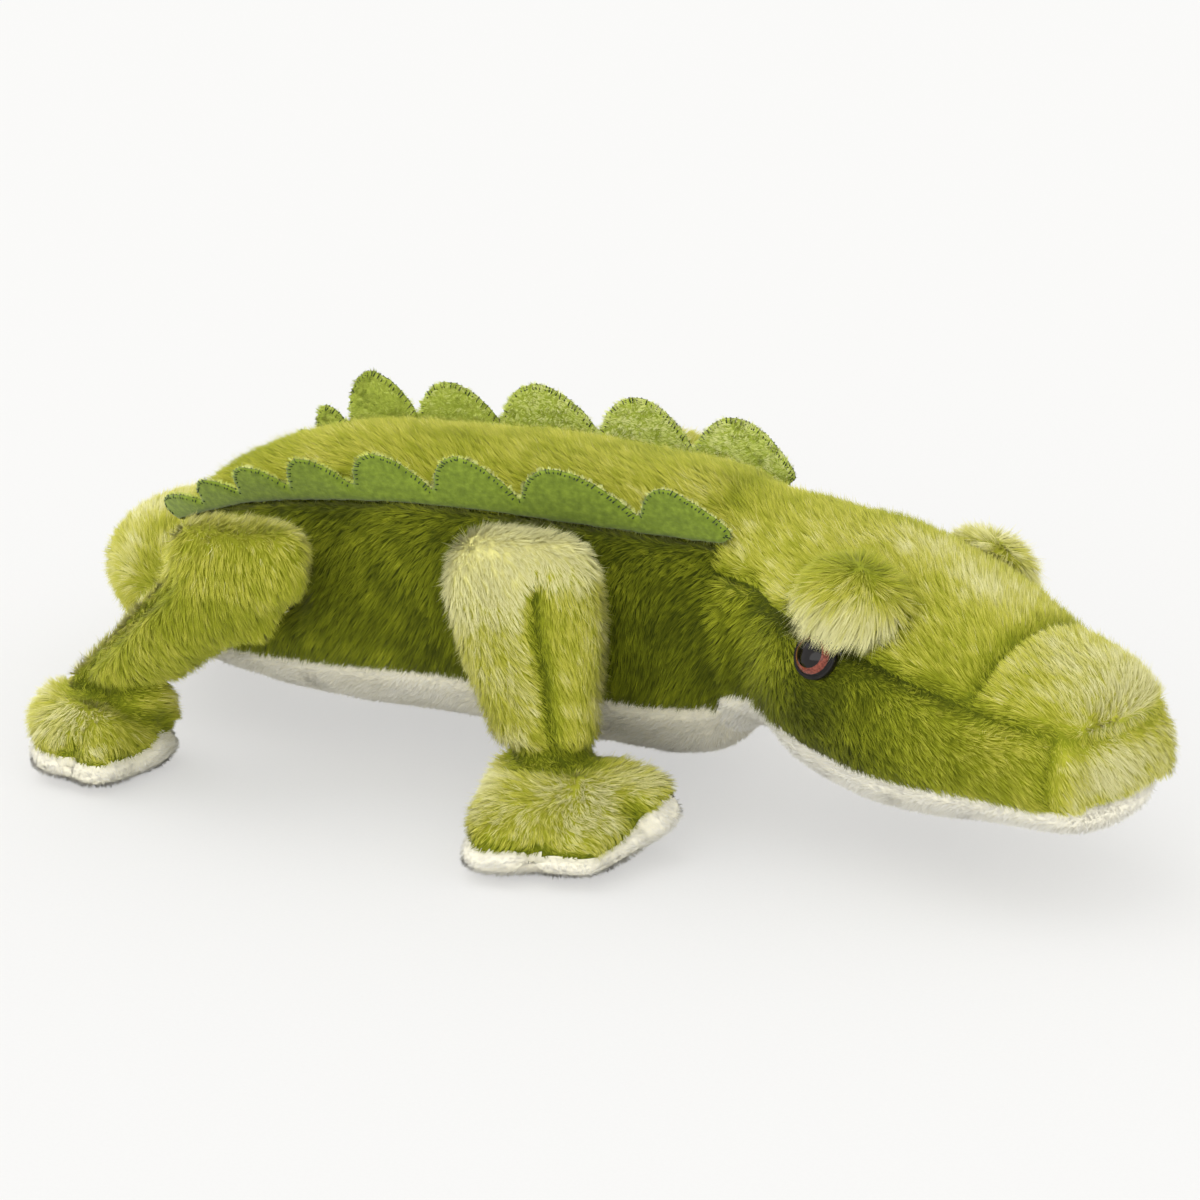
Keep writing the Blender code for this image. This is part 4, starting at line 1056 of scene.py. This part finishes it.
for leg_number, leg in enumerate(LEGS):
    skin = leg_skins[leg]
    triangles = triangles_in(skin.data)
    owner = np.argmin(leg_distances[leg][triangles].mean(axis=1), axis=1)
    seams = seams_of(skin, leg_distances[leg], LEG_PANELS[leg], is_leg=True)
    # The leg creases get the painted shade of a seam
    seams = np.maximum(seams, leg_creases.get(leg, 0.0))
    out = Vector((0, -1 if "right" in leg else 1, 0))
    hidden = np.array([deep_inside(Vector(point), out) for point in places(skin.data)])
    shown = ~hidden[triangles].all(axis=1)
    low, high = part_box(leg + "_foot_top")
    instep = np.array((low + high) / 2)
    top = places(skin.data)[:, 2].max()
    for index, part in enumerate(LEG_PARTS):

        def nap_at(spots):
            if part in LEG_NAPS:
                side = out.y if "front" in leg else 0.0
                return np.tile(LEG_NAPS[part], (len(spots), 1)) * (1.0, side, 1.0)
            spread = unit((spots - instep) * (1.0, 1.0, 0.3)) + TOE_NAP
            spread[:, 2] -= TOE_DROP * held((spots[:, 2] - INSTEP[0]) / INSTEP[1])
            return spread

        def shade_at(spots, facing):
            value = LEG_SHADES[leg].get(part, SOLE_SHADE)
            if part in LEG_NAPS:
                # Painted highlight near the top of the leg
                under_top = 1 - (top - spots[:, 2]) / PAINTED_HIGHLIGHT_REACH[part]
                value = value + TOP_PAINTED_HIGHLIGHT.get(leg, LEAST_PAINTED_HIGHLIGHT) * held(under_top * PAINTED_HIGHLIGHT_RISE)
            # Painted light and shade by which way the fur faces
            return value + LEG_UP_PAINTED_LIGHT * facing[:, 2]

        white = part == "sole"
        name = leg + "_" + part + ("_plush" if white else "_fur")
        pile = WHITE if white else LEG_PILE if "front" in leg else GREEN
        fur_piece(name, skin, (owner == index) & shown, seams, nap_at, pile, shade_at,
                  LEG_SEED + leg_number * 10 + index)

# %% [markdown]
# The scutes' cloth is suede on its outer side and fleece on its inner side. We
# melt each packed strip into a fine skin and tell its sides apart by where they
# face: away from the other row, or toward it.

# %% Scute cloth
STRIP_VOXEL = 0.0008
OUTER_FACING = 0.30

suede = mottled("scute_suede", (0.85, 0.30, 0.2), (520, 8), [
    (0.30, (104, 124, 32)), (0.50, (120, 141, 40)), (0.72, (138, 159, 50)),
], bumps=(1500, 4, 0.4, 0.0004))
lining = mottled("scute_lining", (0.9, 0.2, 0.1), (700, 4), [
    (0.30, (176, 194, 70)), (0.70, (214, 226, 104))])
thread = mottled("overlock_thread", (0.6, 0.1, 0.3), (2500, 2), [
    (0.3, (24, 40, 16)), (0.7, (52, 72, 34))])

FLEECE_TIPS = ((0.0, (104, 126, 42)), (0.5, (226, 240, 108)), (1.0, (252, 255, 184)))
FLEECE_ROOTS = ((0.0, (84, 104, 32)), (0.5, (205, 220, 92)), (1.0, (240, 246, 150)))
fleece_pile = pile_material("scute_fleece", FLEECE_TIPS, FLEECE_ROOTS, 0.85, 0.2)
FLEECE = dict(material=fleece_pile, density=7.0e6, length=0.0017, lean=0.55, swirl=6.0,
              swirl_size=0.003, clumps=0.06, cling=0.6, clump_shade=0.08, thick=0.9,
              mottle=0.08, patch=0.3, seam_shade=0.0)

strip_names = {"right": "right_scute_strip", "left": "left_scute_strip"}
strip_trees = {side: surface_of(nodes[name].data) for side, name in strip_names.items()}


def way_out(points, other):
    """The level direction from the other strip to each point: the suede side faces it."""
    nearest = [strip_trees[other].find_nearest(Vector(p))[0] for p in points]
    away = points - np.array(nearest)
    away[:, 2] = 0
    return unit(away)


# %% [markdown]
# The inner side and the cut edge carry a short fleece fuzz. An overlock stitch
# closes the edge: small staples of dark thread that pass over the cloth's rim.

# %% Fuzz and overlock stitches
STITCH_STEP = 0.0012
RIM_FACING = 0.55
STITCH_REACH = 0.0016
THREAD_RADIUS = 0.00022
THREAD_SIDES = 4
THREAD_LIFT = 0.6
STITCH_SLANT = 0.35
STITCH_PATH = ((1, 1), (0.7, 0.6), (0, 0), (-0.7, -0.6), (-1, -1))
BACK_CLEARANCE = 0.003
UNDER_RIM = -0.55
STRIP_SEED = 400
FUZZ_NAP = (-0.6, 0.0, -0.8)
FUZZ_SHADE = 0.26
FUZZ_AHEAD = 0.44
# Painted light: how much paler fuzz facing up is
FUZZ_UP_PAINTED_LIGHT = 0.25


def rim_points(points, facing_out, normals, surface):
    """Evenly spaced points on the cut edge that stands clear of the back."""
    chosen = []
    by_facing = np.argsort(np.abs(facing_out), kind="stable")
    for order in by_facing[np.abs(facing_out)[by_facing] < RIM_FACING]:
        away = surface.find_nearest(Vector(points[order]))[3]
        if away < BACK_CLEARANCE or normals[order][2] < UNDER_RIM:
            continue
        spread = points[chosen] - points[order]
        if not chosen or np.linalg.norm(spread, axis=1).min() > STITCH_STEP:
            chosen.append(order)
    return chosen


def ring(form, centre, across, other, radius, steps):
    """New points on a circle, with these two directions across it."""
    turns = [2 * math.pi * k / steps for k in range(steps)]
    return [
        form.verts.new(centre + (across * math.cos(t) + other * math.sin(t)) * radius)
        for t in turns
    ]


def staples(name, cloth, points, normals, ways, chosen):
    """One short tube of thread over the rim at each chosen point."""
    surface = surface_of(cloth.data)
    form = bmesh.new()
    for order in chosen:
        rim, up = Vector(points[order]), Vector(normals[order])
        out = Vector(ways[order])
        along = up.cross(out).normalized()
        path = []
        for across, slant in STITCH_PATH:
            guess = rim + out * across * STITCH_REACH - up * abs(across) * STITCH_REACH
            guess += along * slant * STITCH_STEP * STITCH_SLANT
            spot, normal = surface.find_nearest(guess)[:2]
            path.append((spot + normal * THREAD_RADIUS * THREAD_LIFT, normal))
        rings = []
        for k, (place, normal) in enumerate(path):
            step = path[min(k + 1, len(path) - 1)][0] - path[max(k - 1, 0)][0]
            side_way = step.cross(normal).normalized()
            rings.append(ring(form, place, side_way, normal, THREAD_RADIUS, THREAD_SIDES))
        for a, b in zip(rings, rings[1:]):
            for t in range(THREAD_SIDES):
                u = (t + 1) % THREAD_SIDES
                form.faces.new((a[t], a[u], b[u], b[t])).smooth = True
        form.faces.new(rings[0])
        form.faces.new(rings[-1][::-1])
    bmesh.ops.recalc_face_normals(form, faces=form.faces)
    mesh = mesh_of(form, name)
    mesh.materials.append(thread)
    return linked(name, mesh)


for number, (side, other) in enumerate((("right", "left"), ("left", "right"))):
    strip = strip_names[side]
    cloth = linked(strip + "_cloth", joined_mesh(strip + "_cloth", [strip]))
    mesh = melted(cloth, STRIP_VOXEL, 5)
    points, normals = places(mesh), outward(mesh)
    ways = way_out(points, other)
    facing_out = np.sum(normals * ways, axis=1)
    for polygon in mesh.polygons:
        outer = facing_out[list(polygon.vertices)].mean() > -OUTER_FACING
        polygon.material_index = 0 if outer else 1
    mesh.materials.append(suede)
    mesh.materials.append(lining)
    pieces[strip + "_cloth"] = cloth
    fuzzy = facing_out[triangles_in(mesh)].mean(axis=1) < OUTER_FACING

    def nap_at(spots):
        return np.tile(FUZZ_NAP, (len(spots), 1))

    def shade_at(spots, facing):
        ahead = held((spots[:, 0] + 0.10) / 0.09)
        # Fuzz facing up gets painted light
        return FUZZ_SHADE + FUZZ_AHEAD * ahead + FUZZ_UP_PAINTED_LIGHT * held(facing[:, 2])

    fur_piece(strip + "_fuzz", cloth, fuzzy, np.zeros(len(points)), nap_at, FLEECE, shade_at,
              STRIP_SEED + number)
    chosen = rim_points(points, facing_out, normals, trunk_surface)
    stitches = strip + "_stitches"
    pieces[stitches] = staples(stitches, cloth, points, normals, ways, chosen)
    print(strip, len(mesh.polygons), "faces,", len(chosen), "stitches")

# %% [markdown]
# The eyes are glossy plastic: a black pupil, a brown ring and a black rim. A
# round thing has two equal spreads across its axis and one that differs along
# it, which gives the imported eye's axis. A finer profile is then spun round that.

# %% Eyes
EYE_PROFILE = (
    (0.0000, 0.0056), (0.0012, 0.0055), (0.0024, 0.0052), (0.0035, 0.0047),
    (0.0045, 0.0040), (0.0054, 0.0031), (0.0061, 0.0021), (0.0065, 0.0012),
    (0.0067, 0.0011), (0.0071, 0.0014), (0.0075, 0.0011), (0.0076, 0.0002),
    (0.0074, -0.0012), (0.0060, -0.0016), (0.0024, -0.0016), (0.0024, -0.0100),
    (0.0000, -0.0104),
)
PUPIL_RADIUS = 0.0046
BROWN_RADIUS = 0.0064
RIM_HEIGHT = 0.0012
EYE_STEPS = 48

eye_black = mottled("eye_black", (0.10, 0.0, 0.35), (400, 2), [
    (0.3, (10, 7, 6)), (0.7, (20, 14, 12))])
eye_brown = mottled("eye_brown", (0.16, 0.0, 0.35), (1400, 3), [
    (0.3, (88, 34, 24)), (0.7, (150, 78, 60))])
eye_rim = mottled("eye_rim", (0.35, 0.0, 0.25), (700, 2), [
    (0.3, (14, 12, 11)), (0.7, (28, 24, 22))])


def axis_of(name):
    """The middle of a packed round piece's widest ring, and its outward axis.."""
    points = places(nodes[name].data)
    middle = points.mean(axis=0)
    spread, ways = np.linalg.eigh(np.cov((points - middle).T))
    odd = 2 if spread[2] - spread[1] > spread[1] - spread[0] else 0
    axis = ways[:, odd]
    if (middle - head_middle) @ axis < 0:
        axis = -axis
    out = points - middle
    radii = np.linalg.norm(out - np.outer(out @ axis, axis), axis=1)
    return points[radii > 0.9 * radii.max()].mean(axis=0), axis


def turned_eye(name, place, axis):
    form = bmesh.new()
    place, axis = Vector(place), Vector(axis)
    across = axis.orthogonal().normalized()
    other = axis.cross(across)
    rings = []
    for radius, height in EYE_PROFILE:
        centre = place + axis * height
        if radius == 0:
            rings.append([form.verts.new(centre)])
            continue
        rings.append(ring(form, centre, across, other, radius, EYE_STEPS))
    for (radius, height), inner, outer in zip(EYE_PROFILE[1:], rings, rings[1:]):
        for k in range(EYE_STEPS):
            a, b = inner[k % len(inner)], inner[(k + 1) % len(inner)]
            c, d = outer[(k + 1) % len(outer)], outer[k % len(outer)]
            face = form.faces.new(list(dict.fromkeys((a, b, c, d))))
            face.smooth = True
            on_rim = height <= RIM_HEIGHT or radius > BROWN_RADIUS
            face.material_index = 2 if on_rim else int(radius > PUPIL_RADIUS)
    bmesh.ops.recalc_face_normals(form, faces=form.faces)
    mesh = mesh_of(form, name)
    for each in (eye_black, eye_brown, eye_rim):
        mesh.materials.append(each)
    return linked(name, mesh)


head_middle = places(nodes["head_filling"].data).mean(axis=0)
nylon = mottled("washer_nylon", (0.45, 0.0, 0.4), (500, 3), [
    (0.3, (212, 212, 206)), (0.7, (234, 234, 229))])
for side in ("right", "left"):
    place, axis = axis_of(side + "_eye")
    pieces[side + "_eye_turned"] = turned_eye(side + "_eye_turned", place, axis)
    print(side, "eye at", place.round(4), "axis", axis.round(2))
    for slot in nodes[side + "_eye_washer"].material_slots:
        slot.material = nylon

# %% [markdown]
# Each brow is a small stuffed pad of the longest pile. It gets a skin of its own,
# and its locks all hang down and outward over the eye, palest at the fringe. The
# far brow is painted paler than the near one, a painted highlight, and the top of
# each pad is painted darker, a painted shadow in its fold. Over the eye the locks
# are longer and paler.

# %% Brows
BROW = dict(GREEN, length=0.0095, lean=1.10, density=4.4e6, cling=0.5, clumps=0.08, swirl=1.3)
# The left brow's paler shade is a painted highlight
BROW_SHADES_AND_PAINTED_HIGHLIGHT = {"right_brow_pad": 0.80, "left_brow_pad": 0.96}
FRINGE_GLOW = 0.20
# Shorter locks and painted shadow at the top of the pad, in its fold
TRIM_AND_PAINTED_SHADE_TOP = 0.55
FRINGE_TOP = 0.004
FRINGE_HEIGHT = 0.010
TRIM_HEIGHT = 0.008
LASHES = 0.9
LASH_REACH = 0.013
LENS_HEIGHT = 0.006
BROW_SEED = 300
for number, brow in enumerate(BROWS):
    brow_skin = make_skin(brow + "_skin", [brow], [brow], room=0.0008, voxel=0.0025)
    low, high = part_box(brow)
    middle = np.array((low + high) / 2)
    eye_place, eye_axis = axis_of(brow.replace("brow_pad", "eye"))
    lens = eye_place + eye_axis * LENS_HEIGHT

    def over_eye(spots):
        return bell(np.linalg.norm(spots - lens, axis=1), LASH_REACH)

    def nap_at(spots):
        out = unit((spots - middle) * (1.0, 1.0, 0.0))
        hanging = unit(out * 0.35 - HEAD_WAY * 0.5 + (0.0, 0.0, -0.9))
        lashes = over_eye(spots)[:, None]
        return hanging * (1 - lashes) + unit(lens - spots) * lashes

    def shade_at(spots, facing):
        fringe = held((middle[2] + FRINGE_TOP - spots[:, 2]) / FRINGE_HEIGHT)
        # The far brow's shade includes a painted highlight
        return BROW_SHADES_AND_PAINTED_HIGHLIGHT[brow] + FRINGE_GLOW * fringe

    ground = places(brow_skin.data)
    # Painted shadow and shorter locks at the top of the pad; over the eye the locks are longer
    # and paler
    trim_and_painted_shade = TRIM_AND_PAINTED_SHADE_TOP * held((ground[:, 2] - middle[2] + FRINGE_TOP) / TRIM_HEIGHT)
    trim_and_painted_shade -= LASHES * over_eye(ground)
    every = np.ones(len(triangles_in(brow_skin.data)), dtype=bool)
    fur_piece(brow + "_fur", brow_skin, every, trim_and_painted_shade, nap_at, BROW, shade_at,
              BROW_SEED + number)
    bpy.data.objects.remove(brow_skin)

# %% [markdown]
# Inside, the toy is full of loose polyester fibre. Each filling is a lumpy copy of
# its packed form, kept well under the skin that covers it.

# %% Stuffing
FIBRE_VOXEL = 0.004
FIBRE_DEPTH = 0.0036
FIBRE_LUMP = 0.0016
FIBRE_LUMP_SIZE = 0.007

fibre = mottled("polyester_fibre", (0.9, 0.3, 0.2), (300, 6), [
    (0.3, (214, 214, 208)), (0.7, (246, 246, 242)),
], bumps=(300, 6, 0.8, 0.001))
leg_surfaces = {leg: surface_of(leg_skins[leg].data) for leg in LEGS}


def kept_inside(points, surface, depth):
    """The points, with any that come near or through the skin pushed back inside it."""
    moved = points.copy()
    for order, point in enumerate(points):
        spot, normal = surface.find_nearest(Vector(point))[:2]
        under = -(Vector(point) - spot).dot(normal)
        if under < depth:
            moved[order] = spot - normal * depth
    return moved


for filling in [name for name in nodes if name.endswith("_filling")]:
    lump = linked(filling + "_fibre", joined_mesh(filling + "_fibre", [filling]))
    mesh = melted(lump, FIBRE_VOXEL, 1)
    lumps = (soft_noise(places(mesh), FIBRE_LUMP_SIZE, 41) - 0.5) * FIBRE_LUMP
    pushed(mesh, -(FIBRE_DEPTH + lumps))
    surface = leg_surfaces.get(filling.replace("_filling", ""), trunk_surface)
    put_places(mesh, kept_inside(places(mesh), surface, FIBRE_DEPTH))
    mesh.materials.append(fibre)
    pieces[filling + "_fibre"] = lump
for skin in [trunk_skin] + list(leg_skins.values()):
    bpy.data.objects.remove(skin)

# %% [markdown]
# The pieces of the legs, brows, eyes and muzzle ride on their bodies. The rest,
# around the neck and the tail root, keep their place in the world. The imported
# parts that new pieces stand in for are hidden.

# %% Bodies and hidden parts
NECK_CROSSING = set(TORSO_PANELS + HEAD_PANELS) - set(MUZZLE_PANELS)
NECK_CROSSING |= {"torso_filling", "head_filling", *strip_names.values()}
TAIL_CROSSING = {*TAIL_PANELS, "tail_filling"}

for name, piece in pieces.items():
    packed, kind = name.rsplit("_", 1)
    if packed in NECK_CROSSING:
        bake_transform(piece)
    elif packed in TAIL_CROSSING:
        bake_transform(piece)
    else:
        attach(piece, next((leg for leg in LEGS if name.startswith(leg)), "head"))
    if packed in nodes:
        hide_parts(packed)
